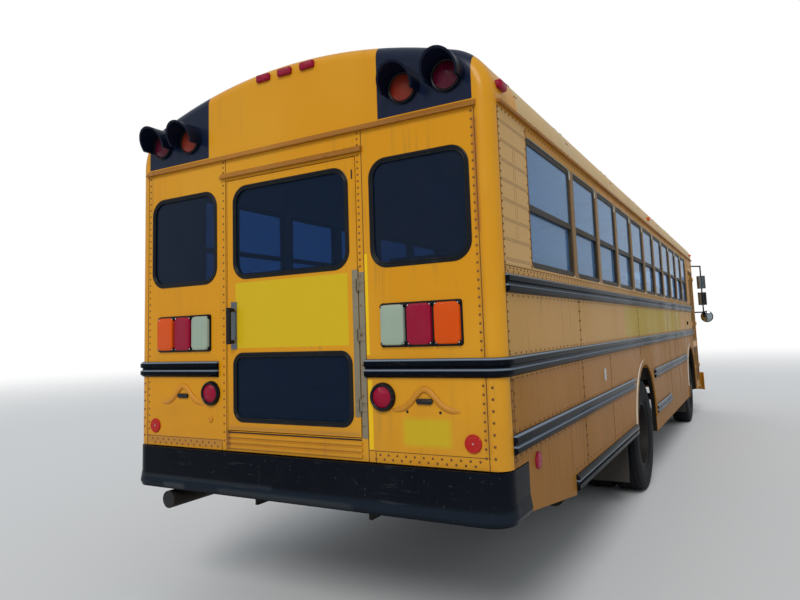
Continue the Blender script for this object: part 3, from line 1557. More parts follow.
@dataclass
class WarningLamps:
    """Eight hooded flashers: red outside, amber inside. A place is (y, z, the lens's finish)."""

    palette: Palette
    radius: float = 0.080
    places: tuple[tuple[float, float, int], ...] = ((1.000, 2.783, 1), (0.757, 2.775, 2))
    depth: float = 0.015
    rise: float = 0.030

    def build(self) -> None:
        """Make the lamps in the place of the plain discs."""
        form = Form()
        for ahead, facing in ((-1.0, Facing.REAR), (1.0, Facing.FRONT)):
            for side in (-1, 1):
                for y, z, material in self.places:
                    x = node_reach("warning_lamps", side * y, z, 0.09, ahead) - ahead * self.depth
                    self._lamp(form, (x, side * y, z), facing, material)
        materials = self.palette.of(RUBBER, DEEP_RED_LENS, DEEP_AMBER_LENS)
        form.finish("flashers", "body", materials, "red_lens", ("warning_lamps",))

    def _lamp(self, form: Form, origin: Point, facing: Facing, material: int) -> None:
        """Add a lens with rings in it, and its bezel.

        Args:
            form: the form added to.
            origin: middle of its foot.
            facing: the way it looks.
            material: its lens's finish.
        """
        form.material = 0
        form.lathe(
            [(0.0, self.radius), (0.014, self.radius), (0.018, self.radius - 0.004), (0.016, self.radius - 0.010),
             (0.0, self.radius - 0.010)],
            origin, facing.value, 40, True,
        )
        form.material = material
        lens = self.radius - 0.009
        domed = ribbed_dome(lens, 0.010, self.rise - 0.010, 20, 0.0010)
        form.lathe([(0.004, lens), *domed, (self.rise, 0.0)], origin, facing.value, 40)


def islands(node: str) -> list[tuple[Vector, Vector]]:
    """Give the box of each separate solid of a node.

    Args:
        node: the node's name.

    Returns:
        The lowest and highest corner of each.
    """
    mesh = bmesh.new()
    mesh.from_mesh(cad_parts[node].data)
    bmesh.ops.remove_doubles(mesh, verts=mesh.verts, dist=0.0002)
    left = set(mesh.verts)
    boxes = []
    while left:
        group = [left.pop()]
        for vert in group:
            for edge in vert.link_edges:
                other = edge.other_vert(vert)
                if other in left:
                    left.remove(other)
                    group.append(other)
        low = Vector([min(vert.co[axis] for vert in group) for axis in range(3)])
        high = Vector([max(vert.co[axis] for vert in group) for axis in range(3)])
        boxes.append((low, high))
    mesh.free()
    return sorted(boxes, key=lambda pair: tuple(round(value, 4) for value in pair[0]))


@dataclass
class MarkerLamps:
    """Small lozenge lamps on the roof and sides: red behind, amber ahead."""

    palette: Palette
    disc_tall: float = 0.08
    swell: float = 0.004

    def build(self) -> None:
        """Make the lamps in the place of the plain blocks."""
        form = Form()
        for low, high in islands("marker_lamps"):
            size = high - low
            form.material = 1 if low.x < at(1.0) else 2
            if size.z > self.disc_tall:
                self._disc(form, (low + high) / 2, size.z / 2)
                continue
            if low.x < at(1.0):
                spread = Vector((0.0, self.swell, self.swell))
                low, high = low - spread, high + spread
            bevel = 0.42 * min(size)
            form.block(tuple(low), tuple(high), bevel, 5)
        materials = self.palette.of(RUBBER, RED_LENS, AMBER_LENS)
        form.finish("marker_lenses", "body", materials, "amber_lens", ("marker_lamps",))

    def _disc(self, form: Form, middle: Vector, radius: float) -> None:
        """Add a round reflector on a side wall.

        Args:
            form: the form added to.
            middle: the plain lamp's middle.
            radius: its radius.
        """
        side = math.copysign(1.0, middle.y)
        foot = (middle.x, side * HALF_WIDTH, middle.z)
        top, rise = 0.012, 0.003 * 0.84**2
        profile = [(0.0, radius), (0.007, radius), (0.010, radius * 0.92), (0.008, radius * 0.84)]
        profile += [*ribbed_dome(radius * 0.84, top - rise, rise, 9, 0.0006), (top, 0.0)]
        form.lathe(profile, foot, (0.0, side, 0.0), 32)


@dataclass
class RearFittings:
    """Vents, the small knob, the hinge's strips, the handle's plate and the tail pipe's mouth."""

    palette: Palette
    shape: BodyShape
    vent_y: float = 0.816
    vent_z: float = 1.229
    vent_half: float = 0.185
    vent_sink: float = 0.012
    drain_ys: tuple[float, float] = (-0.719, -0.896)
    drain_z: float = 1.179
    knob_at: tuple[float, float] = (0.589, 1.099)
    knob: Profile = ((0.0, 0.017), (0.006, 0.017), (0.009, 0.013), (0.009, 0.008), (0.006, 0.006), (0.006, 0.0))
    pipe_at: Point = (at(-0.010), 0.93, 0.62)
    pipe_radius: float = 0.044
    strip_y: float = -0.4370
    strip_half: float = 0.0170
    strip_z: tuple[float, float] = (1.145, 1.885)
    strip_thick: float = 0.0028
    plate_thick: float = 0.005

    def build(self) -> None:
        """Fit them to the rear."""
        self._vents()
        self._door()
        jamb = Form()
        jamb.block((self.shape.rear - 0.0012, -0.494, 1.04), (self.shape.rear, -0.4595, 1.87), 0.0005, 1)
        jamb.finish("hinge_strip", "body", self.palette.of(GALVANISED), "window_alloy")
        mouth = Form()
        disc = [(0.0005, 0.0), (0.0005, self.pipe_radius), (0.0, self.pipe_radius)]
        mouth.lathe(disc, self.pipe_at, Facing.REAR.value, 32)
        mouth.finish("tail_pipe_mouth", "body", self.palette.of(HOLE_BLACK), "black_paint")

    def _bead_height(self, y: float) -> float:
        """Give the height of a vent's bead over its slot at a distance from its middle."""
        return -0.042 + 0.098 * math.exp(-((y / 0.078) ** 2)) - 0.10 * y * y

    def _vents(self) -> None:
        """Make the arched beads over their slots, the drain holes, the sill's slot and the knob."""
        beads, slots = Form(), Form()
        x, out = self.shape.rear, Facing.REAR.value
        for side in (-1, 1):
            line = []
            for step in range(41):
                y = -self.vent_half + 2 * self.vent_half * step / 40
                sink = self.vent_sink * (abs(y) / self.vent_half) ** 3
                line.append((x + sink, side * self.vent_y + y, self.vent_z + self._bead_height(y)))
            beads.tube(line, 0.016, 12, False, 0.75, (-1, 0, 0))
            slots.boss((x, side * self.vent_y, self.vent_z), Facing.REAR, [
                (0.086, 0.026, 0.0125, 0.0), (0.086, 0.026, 0.0125, 0.010), (0.074, 0.014, 0.006, 0.014),
            ], 5)
        for y in self.drain_ys:
            slots.lathe([(0.0, 0.007), (0.0015, 0.007), (0.0015, 0.0)], (x, y, self.drain_z), out, 12)
        slots.block((x - 0.0025, -0.455, 1.029), (x, 0.455, 1.0365), 0.001, 1)
        beads.lathe(self.knob, (x, *self.knob_at), out, 20)
        beads.finish("vent_beads", "body", self.palette.of(VENT_PAINT), "body_paint")
        slots.finish("vent_slots", "body", self.palette.of(HOLE_BLACK), "black_paint")

    def _door(self) -> None:
        """Make the hinge strip with its screws, the handle's plate and the catch that ride on the rear door."""
        form = Form()
        x, out = self.shape.rear, Facing.REAR.value
        y, (low, high) = self.strip_y, self.strip_z
        form.block((x - self.strip_thick, y - self.strip_half, low), (x, y + self.strip_half, high), 0.001, 2)
        for step in range(6):
            form.dome((x - self.strip_thick, y + 0.006, low + 0.03 + 0.13 * step), out, 0.005, 0.003, 8, 2)
        form.material = 1
        form.block((x - self.plate_thick, 0.380, 1.495), (x, 0.424, 1.765), 0.002, 2)
        for z in (1.512, 1.748):
            for y in (0.390, 0.414):
                form.dome((x - self.plate_thick, y, z), out, 0.005, 0.003, 8, 2)
        form.material = 2
        form.block((x - 0.003, -0.436, 2.36), (x, -0.428, 2.41), 0.001, 1)
        materials = self.palette.of(GALVANISED, HANDLE_STEEL, HOLE_BLACK)
        form.finish("door_strips", "emergency_door", materials, "window_alloy")


@dataclass
class TailSkirts:
    """Side walls whose foot rises from front, at the last rail's end, to rear, at the bumper."""

    palette: Palette
    front: Point = (at(1.080), 0.0, 0.580)
    rear: Point = (at(0.270), 0.0, 0.697)

    def build(self) -> None:
        """Make both walls in the place of the plain ones."""
        rise = Vector(self.rear) - Vector(self.front)
        for side in Side:
            node = f"side_wall_{'left' if side is Side.DRIVER else 'right'}"
            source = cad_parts[node].data
            form = Form()
            for item in source.polygons:
                form.face([source.vertices[index].co for index in item.vertices])
            mesh = form.mesh
            bmesh.ops.remove_doubles(mesh, verts=mesh.verts, dist=0.00005)
            cut = bmesh.ops.bisect_plane(
                mesh, geom=[*mesh.verts, *mesh.edges, *mesh.faces], plane_co=self.front,
                plane_no=(rise.z, 0.0, -rise.x), clear_inner=True,
            )
            rim = [item for item in cut["geom_cut"] if isinstance(item, bmesh.types.BMEdge)]
            bmesh.ops.triangle_fill(mesh, edges=rim, use_beauty=True)
            form.finish(f"{node}_skirted", "body", self.palette.of(SIDE_PAINT), "body_paint", (node,))


@dataclass
class SideFittings:
    """Lines pressed into the rear corner panels, and the small latch and lamp on the kerb side."""

    palette: Palette
    start: float = 0.098
    end: float = 0.458
    low: float = 1.885
    high: float = 2.585
    pitch: float = 0.095

    def build(self) -> None:
        """Fit them to both sides."""
        for side in Side:
            self._pressing(side)
        self._kerb()

    def _pressing(self, side: Side) -> None:
        """Press rows of lines into a corner panel.

        Args:
            side: the side.
        """
        form = Form()
        y = side.value * HALF_WIDTH
        up = (0.0, float(side.value), 0.0)
        rows = int((self.high - self.low) / self.pitch)
        for row in range(rows + 1):
            z = self.low + row * self.pitch
            for shift in (-0.005, 0.005):
                line = [(at(self.start), y, z + shift), (at(self.end), y, z + shift)]
                form.tube(line, 0.0022, 6, False, 0.7, up)
        middle = at((self.start + self.end) / 2)
        for row in range(1, rows - 1):
            for shift in (-0.012, 0.012):
                z = self.low + row * self.pitch
                line = [(middle + shift, y, z + 0.014), (middle + shift, y, z + self.pitch - 0.014)]
                form.tube(line, 0.0018, 6, False, 0.7, up)
        form.finish(f"pressed_panel_{side.name.lower()}", "body", self.palette.of(PRESSED_PAINT), "body_paint")

    def _kerb(self) -> None:
        """Add the latch, the drain slot and the small black lamp."""
        form = Form()
        y = -HALF_WIDTH
        form.material = 0
        form.boss((at(2.01), y, 1.20), Facing.KERB, [
            (0.05, 0.09, 0.012, 0.0), (0.05, 0.09, 0.012, 0.004), (0.044, 0.084, 0.010, 0.006),
        ], 4)
        form.material = 1
        form.boss((at(4.72), y, 0.965), Facing.KERB, [(0.09, 0.018, 0.008, 0.0), (0.09, 0.018, 0.008, 0.002)], 4)
        form.lathe(
            [(0.0, 0.028), (0.012, 0.028), (0.018, 0.020), (0.020, 0.0)], (at(8.07), y, 1.537), Facing.KERB.value, 20
        )
        form.finish("kerb_fittings", "body", self.palette.of(BRIGHT_STEEL, BLACK_GLOSS), "black_paint")


# Wheels


@dataclass
class Wheels:
    """Treaded tyres and the nuts of the wheels."""

    palette: Palette
    radius: float = 0.510
    half: float = 0.1275
    bead_half: float = 0.094
    bead_radius: float = 0.2865
    steps: int = 108
    notch: float = 0.006
    axle_height: float = 0.510
    front: float = at(8.200)
    rear: float = at(3.730)
    front_y: float = 1.040
    twin_ys: tuple[float, float] = (0.770, 1.060)
    nut_circle: float = 0.1425
    nuts: int = 10
    nut: Profile = ((-0.001, 0.021), (0.004, 0.021), (0.004, 0.0165), (0.022, 0.0155), (0.024, 0.012), (0.024, 0.0))
    stud: Profile = ((0.022, 0.0095), (0.034, 0.0095), (0.035, 0.008), (0.035, 0.0))
    ribs: tuple[tuple[float, float], ...] = ((0.0085, 0.0235), (0.0325, 0.0585), (0.0675, 0.1040))
    groove: float = 0.009

    def build(self) -> None:
        """Make the tyres and nuts of all four wheels."""
        for side in (Side.DRIVER, Side.KERB):
            hand = "left" if side is Side.DRIVER else "right"
            self._tyre(f"tread_front_{hand}", f"wheel_front_{hand}", f"tyre_front_{hand}", self.front,
                       (side.value * self.front_y,))
            self._tyre(f"treads_rear_{hand}", f"wheel_rear_{hand}", f"tyres_rear_{hand}", self.rear,
                       tuple(side.value * y for y in self.twin_ys))
            for x, place, rim in ((self.front, "front", "rim_front_"), (self.rear, "rear", "rims_rear_")):
                self._nuts(f"wheel_nuts_{place}_{hand}", f"wheel_{place}_{hand}", rim + hand, x, side)

    def _crown(self, along: float) -> float:
        """Give the tread's radius at a distance from its middle."""
        return self.radius - 0.0035 * (along / 0.1) ** 2

    def _section(self) -> list[tuple[float, float, bool]]:
        """Give half of the tyre's section from the middle outward.

        Returns:
            Each point's distance along the axle, its radius and whether the notches reach it.
        """
        points = [(0.0, self._crown(0) - self.groove * 0.3, False)]
        for near, far in self.ribs:
            points.append((near, self._crown(near) - self.groove, False))
            points.append((near, self._crown(near), False))
            points.append((far, self._crown(far), far > 0.1))
            if far < 0.1:
                points.append((far, self._crown(far) - self.groove, False))
        return points + [
            (0.112, 0.5005, True), (0.1185, 0.486, True), (0.1235, 0.458, False), (0.1262, 0.452, False),
            (self.half, 0.405, False), (self.half - 0.0008, 0.356, False), (0.1215, 0.322, False),
            (0.110, 0.299, False), (self.bead_half + 0.004, 0.290, False), (self.bead_half, self.bead_radius, False),
        ]

    def _tyre(self, name: str, body: str, node: str, x: float, ys: Sequence[float]) -> None:
        """Make the tyres of one wheel.

        Args:
            name: the piece's name.
            body: the body that it turns with.
            node: the node that it stands for.
            x: the axle's X.
            ys: the middle of each tyre.
        """
        form = Form()
        half = self._section()
        section = [(-along, radius, cut) for along, radius, cut in reversed(half[1:])] + half
        for y in ys:
            rings = []
            for step in range(self.steps):
                turn = 2 * math.pi * step / self.steps
                dip = self.notch if step % 3 == 0 else 0.0
                ring = []
                for along, radius, cut in section:
                    reach = radius - dip * cut
                    z = self.axle_height + reach * math.sin(turn)
                    ring.append(Vector((x + reach * math.cos(turn), y + along, z)))
                rings.append(ring)
            form.sweep(rings, True, True, False)
        form.finish(name, body, self.palette.of(TYRE_RUBBER), "tyre_rubber", (node,), 35.0)

    def _nuts(self, name: str, body: str, node: str, x: float, side: Side) -> None:
        """Set the nuts on a wheel's disc.

        Args:
            name: the piece's name.
            body: the body that it turns with.
            node: the rim's node.
            x: the axle's X.
            side: the side of the bus.
        """
        form = Form()
        for index in range(self.nuts):
            turn = 2 * math.pi * (index + 0.5) / self.nuts
            rise = self.axle_height + self.nut_circle * math.sin(turn)
            place = Vector((x + self.nut_circle * math.cos(turn), 0.0, rise))
            hit = strike(node, (place.x, side.value * 2.0, place.z), (0, -side.value, 0))
            if hit is None:
                continue
            base = (place.x, hit.y, place.z)
            out = (0.0, float(side.value), 0.0)
            form.lathe(self.nut, base, out, 6)
            form.lathe(self.stud, base, out, 12)
        form.finish(name, body, self.palette.of(CAST_IRON), "cast_metal")


# Seats


def swell(piece: bpy.types.Object, voxel: float, pressure: float, cap: float) -> None:
    """Fill a cushion's cover by cloth simulation and keep the result in its mesh.

    Args:
        piece: the cushion.
        voxel: size of the cover's faces.
        pressure: pressure of the filling.
        cap: furthest that any point may move.
    """
    remesh = piece.modifiers.new("remesh", "REMESH")
    remesh.mode = "VOXEL"
    remesh.voxel_size = voxel
    graph = bpy.context.evaluated_depsgraph_get()
    base = bpy.data.meshes.new_from_object(piece.evaluated_get(graph))
    piece.modifiers.clear()
    piece.data = base
    rest = [vert.co.copy() for vert in base.vertices]
    frames = 20
    cloth = piece.modifiers.new("cloth", "CLOTH")
    cloth.settings.use_pressure = True
    cloth.settings.uniform_pressure_force = pressure
    cloth.settings.effector_weights.gravity = 0.0
    cloth.point_cache.frame_start = 1
    cloth.point_cache.frame_end = frames
    for step in range(1, frames + 1):
        bpy.context.scene.frame_set(step)
    graph = bpy.context.evaluated_depsgraph_get()
    filled = [vert.co.copy() for vert in piece.evaluated_get(graph).data.vertices]
    piece.modifiers.clear()
    bpy.context.scene.frame_set(1)
    for vert, start, end in zip(base.vertices, rest, filled):
        move = end - start
        vert.co = start + move * min(1.0, cap / max(move.length, 1e-6))
    for item in base.polygons:
        item.use_smooth = True


@dataclass
class Benches:
    """Two rows of benches: frames with stuffed cushions and backs."""

    palette: Palette
    rows: int = 10
    start: float = 0.760
    pitch: float = 0.707
    aisle: float = 0.189
    wall: float = 1.174
    depth: float = 0.400
    foot: float = 1.420
    top: float = 1.490
    back_top: float = 2.040
    lean: float = 0.090
    thick: float = 0.090
    voxel: float = 0.022
    pressure: float = 4.0
    cap: float = 0.009
    tube: float = 0.016

    def build(self) -> None:
        """Make the frames, then a pair of stuffed pieces for each bench."""
        vinyl = self.palette.of(BENCH_VINYL)
        seat, seat_line = self._master("seat")
        back, back_line = self._master("back")
        frames, piping = Form(), Form()
        pieces = []
        for row in range(self.rows):
            for side in Side:
                shift = Vector((at(self.start + row * self.pitch), side.value * (self.aisle + self.wall) / 2, 0))
                for label, master in (("seat", seat), ("back", back)):
                    data = master.copy()
                    data.transform(Matrix.Translation(shift))
                    piece = add_object(f"bench_{label}_{side.name.lower()}_{row + 1}", data)
                    data.materials.clear()
                    data.materials.append(vinyl[0])
                    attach(piece, "body")
                    pieces.append(piece)
                for line in (seat_line, back_line):
                    piping.tube([point + shift for point in line], 0.0045, 6, True)
                self._frame(frames, shift, side)
        piping.finish("bench_piping", "body", vinyl, "seat_vinyl")
        frames.finish("bench_frames", "body", self.palette.of(CHASSIS_BLACK), "frame_black", ("benches",))
        log.info("benches: %d stuffed pieces", len(pieces))

    def _master(self, kind: str) -> tuple[bpy.types.Mesh, list[Vector]]:
        """Make one stuffed piece about X 0, Y 0, and the line of its piping.

        Args:
            kind: seat or back.

        Returns:
            The mesh and the piping's points.
        """
        half = (self.wall - self.aisle) / 2 - 0.010
        form = Form()
        shrink = self.cap * 0.8
        if kind == "seat":
            low = (self.thick + 0.004 + shrink, -half + shrink, self.foot + 0.002)
            high = (self.depth - shrink, half - shrink, self.top - shrink * 0.6)
            form.block(low, high, 0.026, 4)
        else:
            rings = []
            levels = 14
            for level in range(levels + 1):
                share = level / levels
                z = self.foot + 0.012 + shrink + (self.back_top - self.foot - 0.012 - 2 * shrink) * share
                ease = min(1.0, 5 * share, 5 * (1 - share))
                ease = 0.55 + 0.45 * math.sin(ease * math.pi / 2)
                middle = self.thick / 2 - self.lean * (z - self.foot) / (self.back_top - self.foot)
                rings.append([
                    Vector((middle + a * ease, b, z))
                    for a, b in rounded_loop(self.thick - 2 * shrink, 2 * (half - shrink), 0.028, 4)
                ])
            form.sweep(rings)
        piece = add_object("bench_" + kind, form.bake("bench_" + kind))
        swell(piece, self.voxel, self.pressure, self.cap)
        line = self._piping(piece, kind, half)
        mesh = piece.data
        bpy.data.objects.remove(piece)
        return mesh, line

    def _piping(self, piece: bpy.types.Object, kind: str, half: float) -> list[Vector]:
        """Trace the seam round a stuffed piece on its surface.

        Args:
            piece: the stuffed piece.
            kind: seat or back.
            half: half its length.

        Returns:
            The seam's points.
        """
        line = []
        if kind == "seat":
            middle = Vector(((self.thick + self.depth) / 2, 0, self.top - 0.018))
            for a, b in rounded_loop(self.depth - self.thick, 2 * half, 0.03, 5):
                found, place, _, _ = piece.closest_point_on_mesh(Vector((middle.x + a, b, middle.z)))
                if found:
                    line.append(place)
        else:
            for a, b in rounded_loop(2 * half, self.back_top - self.foot - 0.012, 0.03, 5):
                z = (self.back_top + self.foot) / 2 + b
                x = self.thick - 0.012 - self.lean * (z - self.foot) / (self.back_top - self.foot)
                found, place, _, _ = piece.closest_point_on_mesh(Vector((x, a, z)))
                if found:
                    line.append(place)
        return line

    def _frame(self, form: Form, shift: Vector, side: Side) -> None:
        """Add one bench's legs, rails and pan.

        Args:
            form: the form added to.
            shift: place of the bench.
            side: its side.
        """
        inner = side.value * (self.aisle + 0.020)
        outer = side.value * (self.wall - 0.004)
        for reach in (0.060, 0.345):
            x = shift.x + reach
            form.tube([(x, inner, FLOOR), (x, inner, self.foot - 0.02)], self.tube, 10)
            form.tube([(x, inner, self.foot - 0.016), (x, outer, self.foot - 0.016)], self.tube, 10)
        form.block(
            (shift.x + 0.03, min(inner, inner + side.value * 0.05) - 0.012, FLOOR),
            (shift.x + 0.375, max(inner, inner + side.value * 0.05) + 0.012, FLOOR + 0.006), 0.002, 1,
        )
        form.tube([(shift.x + 0.060, inner, 1.20), (shift.x + 0.345, inner, 1.20)], self.tube * 0.8, 8)


@dataclass
class DriversSeat:
    """The driver's stuffed seat on its pedestal."""

    palette: Palette
    station: float = 8.900
    y: float = 0.700
    half: float = 0.230
    cap: float = 0.010

    def build(self) -> None:
        """Make the pedestal, cushion and back in the place of the plain seat."""
        x = at(self.station)
        form = Form()
        form.block((x + 0.06, self.y - 0.11, FLOOR), (x + 0.34, self.y + 0.11, FLOOR + 0.30), 0.02, 3)
        form.block((x + 0.03, self.y - 0.19, FLOOR + 0.30), (x + 0.37, self.y + 0.19, FLOOR + 0.345), 0.008, 2)
        for level in range(5):
            z = FLOOR + 0.06 + 0.05 * level
            form.tube([
                (x + 0.20 + 0.15 * math.cos(turn * math.pi / 12), self.y + 0.12 * math.sin(turn * math.pi / 12), z)
                for turn in range(24)
            ], 0.010, 6, True)
        form.finish("driver_pedestal", "body", self.palette.of(CHASSIS_BLACK), "frame_black", ("driver_seat",))
        bounds = {
            "driver_cushion": ((x + 0.100, self.y - 0.215, 1.395), (x + 0.385, self.y + 0.215, 1.480)),
            "driver_back": ((x - 0.055, self.y - 0.200, 1.470), (x + 0.045, self.y + 0.200, 2.020)),
        }
        for name, (low, high) in bounds.items():
            shape = Form()
            shape.block(low, high, 0.034, 4)
            if name == "driver_back":
                for vert in shape.mesh.verts:
                    vert.co.x += 0.045 - 0.085 * (vert.co.z - 1.47) / 0.55
            piece = shape.finish(name, "body", self.palette.of(BENCH_VINYL), "seat_vinyl")
            swell(piece, 0.016, 4.0, self.cap)
            if not piece.data.materials:
                piece.data.materials.append(self.palette.of(BENCH_VINYL)[0])


# Front end and doors


def strike(node: str, origin: Sequence[float], direction: Sequence[float]) -> Vector | None:
    """Find where a line first meets a node.

    Args:
        node: the node's name.
        origin: the line's start.
        direction: its direction.

    Returns:
        The point, or None where it misses.
    """
    found, place, _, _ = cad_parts[node].ray_cast(Vector(origin), Vector(direction))
    return place if found else None


def from_ahead(node: str, y: float, z: float) -> Vector | None:
    """Find where a level line from ahead first meets a node.

    Args:
        node: the node's name.
        y: the line's Y.
        z: the line's Z.

    Returns:
        The point, or None where it misses.
    """
    return strike(node, (AHEAD, y, z), (-1, 0, 0))


@dataclass
class NoseFittings:
    """Headlamp bezels, windscreen seals, radiator and wipers."""

    palette: Palette
    screen_size: tuple[float, float] = (1.020, 0.830)
    screen_middle: tuple[float, float] = (0.550, 2.115)
    screen_corner: float = 0.040
    seal: float = 0.011
    core_half: float = 0.60
    core_z: tuple[float, float] = (0.55, 1.15)
    core_faces: tuple[float, float] = (at(9.62), at(9.66))
    fins: int = 24
    fin_face: float = at(9.672)
    fin_half: float = 0.0015
    lamp: tuple[float, float] = (0.860, 0.850)
    radius: float = 0.095
    wiper_pivots: tuple[float, float] = (-0.20, 0.78)
    pivot_z: float = 1.672
    blade: float = 0.30

    def build(self) -> None:
        """Fit them to the nose."""
        self._bezels()
        self._seals()
        self._radiator()
        self._wipers()

    def _bezels(self) -> None:
        """Ring the headlamps."""
        form = Form()
        for side in (-1, 1):
            loop = []
            for step in range(40):
                turn = 2 * math.pi * step / 40
                y = side * self.lamp[0] + (self.radius + 0.008) * math.cos(turn)
                z = self.lamp[1] + (self.radius + 0.008) * math.sin(turn)
                hit = from_ahead("nose_wall", y, z)
                if hit:
                    loop.append(hit)
            form.tube(loop, 0.011, 8, True, 0.8, (1, 0, 0))
        form.finish("headlamp_bezels", "body", self.palette.of(BRIGHT_STEEL), "window_alloy")

    def _seals(self) -> None:
        """Lay a rubber seal round each half of the windscreen."""
        form = Form()
        width, height = (size + self.seal for size in self.screen_size)
        corners = rounded_loop(width, height, self.screen_corner, 6)
        for side in (-1, 1):
            loop = []
            for index, (across, rise) in enumerate(corners):
                to_across, to_rise = corners[(index + 1) % len(corners)]
                parts = max(1, round(math.hypot(to_across - across, to_rise - rise) / 0.06))
                for part in range(parts):
                    y = side * self.screen_middle[0] + across + (to_across - across) * part / parts
                    z = self.screen_middle[1] + rise + (to_rise - rise) * part / parts
                    hit = from_ahead("nose_wall", y, z)
                    if hit:
                        loop.append(hit)
            form.tube(loop, self.seal, 8, True, 0.6, (1, 0, 0))
        form.finish("screen_seals", "body", self.palette.of(RUBBER), "rubber_black")

    def _radiator(self) -> None:
        """Stand a finned core behind the grille."""
        form = Form()
        low, high = self.core_z
        back, face = self.core_faces
        form.block((back, -self.core_half, low), (face, self.core_half, high), 0.004, 1)
        for row in range(1, self.fins):
            z = low + (high - low) * row / self.fins
            form.block(
                (face, -self.core_half, z - self.fin_half), (self.fin_face, self.core_half, z + self.fin_half), 0.0, 1
            )
        form.finish("radiator_core", "body", self.palette.of(CHASSIS_BLACK), "frame_black")

    def _wipers(self) -> None:
        """Lay an arm and a blade on each half of the windscreen."""
        form = Form()
        for pivot in self.wiper_pivots:
            start = from_ahead("nose_wall", pivot, self.pivot_z)
            if start is None:
                continue
            form.lathe([(-0.004, 0.018), (0.020, 0.018), (0.026, 0.012), (0.026, 0.0)], tuple(start), (1, 0, 0.2), 16)
            arm = [start + Vector((0.022, 0, 0))]
            for share in (0.3, 0.6, 1.0):
                hit = from_ahead("windscreen", pivot - 0.42 * share, self.pivot_z + 0.20 * share)
                if hit:
                    arm.append(hit + Vector((0.022, 0, 0)))
            form.tube(arm, 0.006, 8, False, 0.6, (1, 0, 0))
            tip = arm[-1]
            blade = []
            for share in range(9):
                z = tip.z - self.blade * 0.3 + self.blade * 1.2 * share / 8
                hit = from_ahead("windscreen", tip.y - 0.02 * share / 8, z)
                if hit:
                    blade.append(hit + Vector((0.010, 0, 0)))
            form.tube(blade, 0.007, 6, False, 1.0, (1, 0, 0))
        form.finish("wipers", "body", self.palette.of(RUBBER), "rubber_black")


@dataclass
class DoorFittings:
    """Rubber round the entrance panes, the stop arm's red faces and the mirrors' glass."""

    palette: Palette
    leaf_face: float = -1.2145
    panes: tuple[tuple[float, float], ...] = ((0.560, 1.120), (1.230, 2.420))
    leaves: tuple[tuple[str, float, float], ...] = (("rear", 3.956, 4.171), ("front", 4.299, 4.514))
    sign_half: float = 0.204
    sign_reach: float = 0.225
    sign_skin: float = 0.0012
    mirror_half: tuple[float, float] = (0.062, 0.107)
    mirror_y: float = 1.340
    mirror_heights: tuple[float, float] = (2.265, 1.965)
    mirror_face: float = at(9.842)
    round_at: tuple[float, float, float] = (at(9.947), 1.385, 1.640)
    round_radius: float = 0.092
    round_rise: float = 0.016

    def build(self) -> None:
        """Fit them."""
        self._gaskets()
        self._sign()
        self._mirrors()

    def _gaskets(self) -> None:
        """Lay rubber round the panes of both entrance leaves."""
        for label, low, high in self.leaves:
            form = Form()
            middle_x = (low + high) / 2
            for bottom, top in self.panes:
                loop = rounded_loop(high - low + 0.008, top - bottom + 0.008, 0.044, 6)
                middle_z = (top + bottom) / 2
                line = [(middle_x + a, self.leaf_face, middle_z + b) for a, b in loop]
                form.tube(line, 0.009, 8, True, 0.5, (0, -1, 0))
            form.finish(f"leaf_gasket_{label}", f"entrance_leaf_{label}", self.palette.of(RUBBER), "rubber_black")

    def _sign(self) -> None:
        """Lay a red octagon on each face of the stop arm."""
        low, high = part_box("stop_arm")
        form = Form()
        centre_x, centre_z = low.x + self.sign_reach, (low.z + high.z) / 2
        for y, out in ((low.y, -self.sign_skin), (high.y, self.sign_skin)):
            ring = []
            for step in range(8):
                turn = math.pi / 4 * step + math.pi / 8
                reach = self.sign_half / math.cos(math.pi / 8)
                ring.append(Vector((centre_x + reach * math.cos(turn), y, centre_z + reach * math.sin(turn))))
            form.sweep([ring, [point + Vector((0, out, 0)) for point in ring]])
        form.finish("stop_faces", "stop_arm", self.palette.of(SIGN_RED), "red_lens")

    def _mirrors(self) -> None:
        """Lay glass on the flat mirrors, and the silver dome on the round ones."""
        form = Form()
        half_y, half_z = self.mirror_half
        round_x, round_y, round_z = self.round_at
        dome = [(0.0, self.round_radius)]
        for step in range(9):
            share = 1 - step / 8
            dome.append((0.002 + self.round_rise * (1 - share**2), self.round_radius * share))
        for side in (-1, 1):
            for z in self.mirror_heights:
                form.block(
                    (self.mirror_face - 0.002, side * self.mirror_y - half_y, z - half_z),
                    (self.mirror_face, side * self.mirror_y + half_y, z + half_z), 0.0008, 1,
                )
            form.lathe(dome, (round_x, side * round_y, round_z), Facing.REAR.value, 32)
        form.finish("mirror_glass", "body", self.palette.of(MIRROR_SILVER), "window_glass")


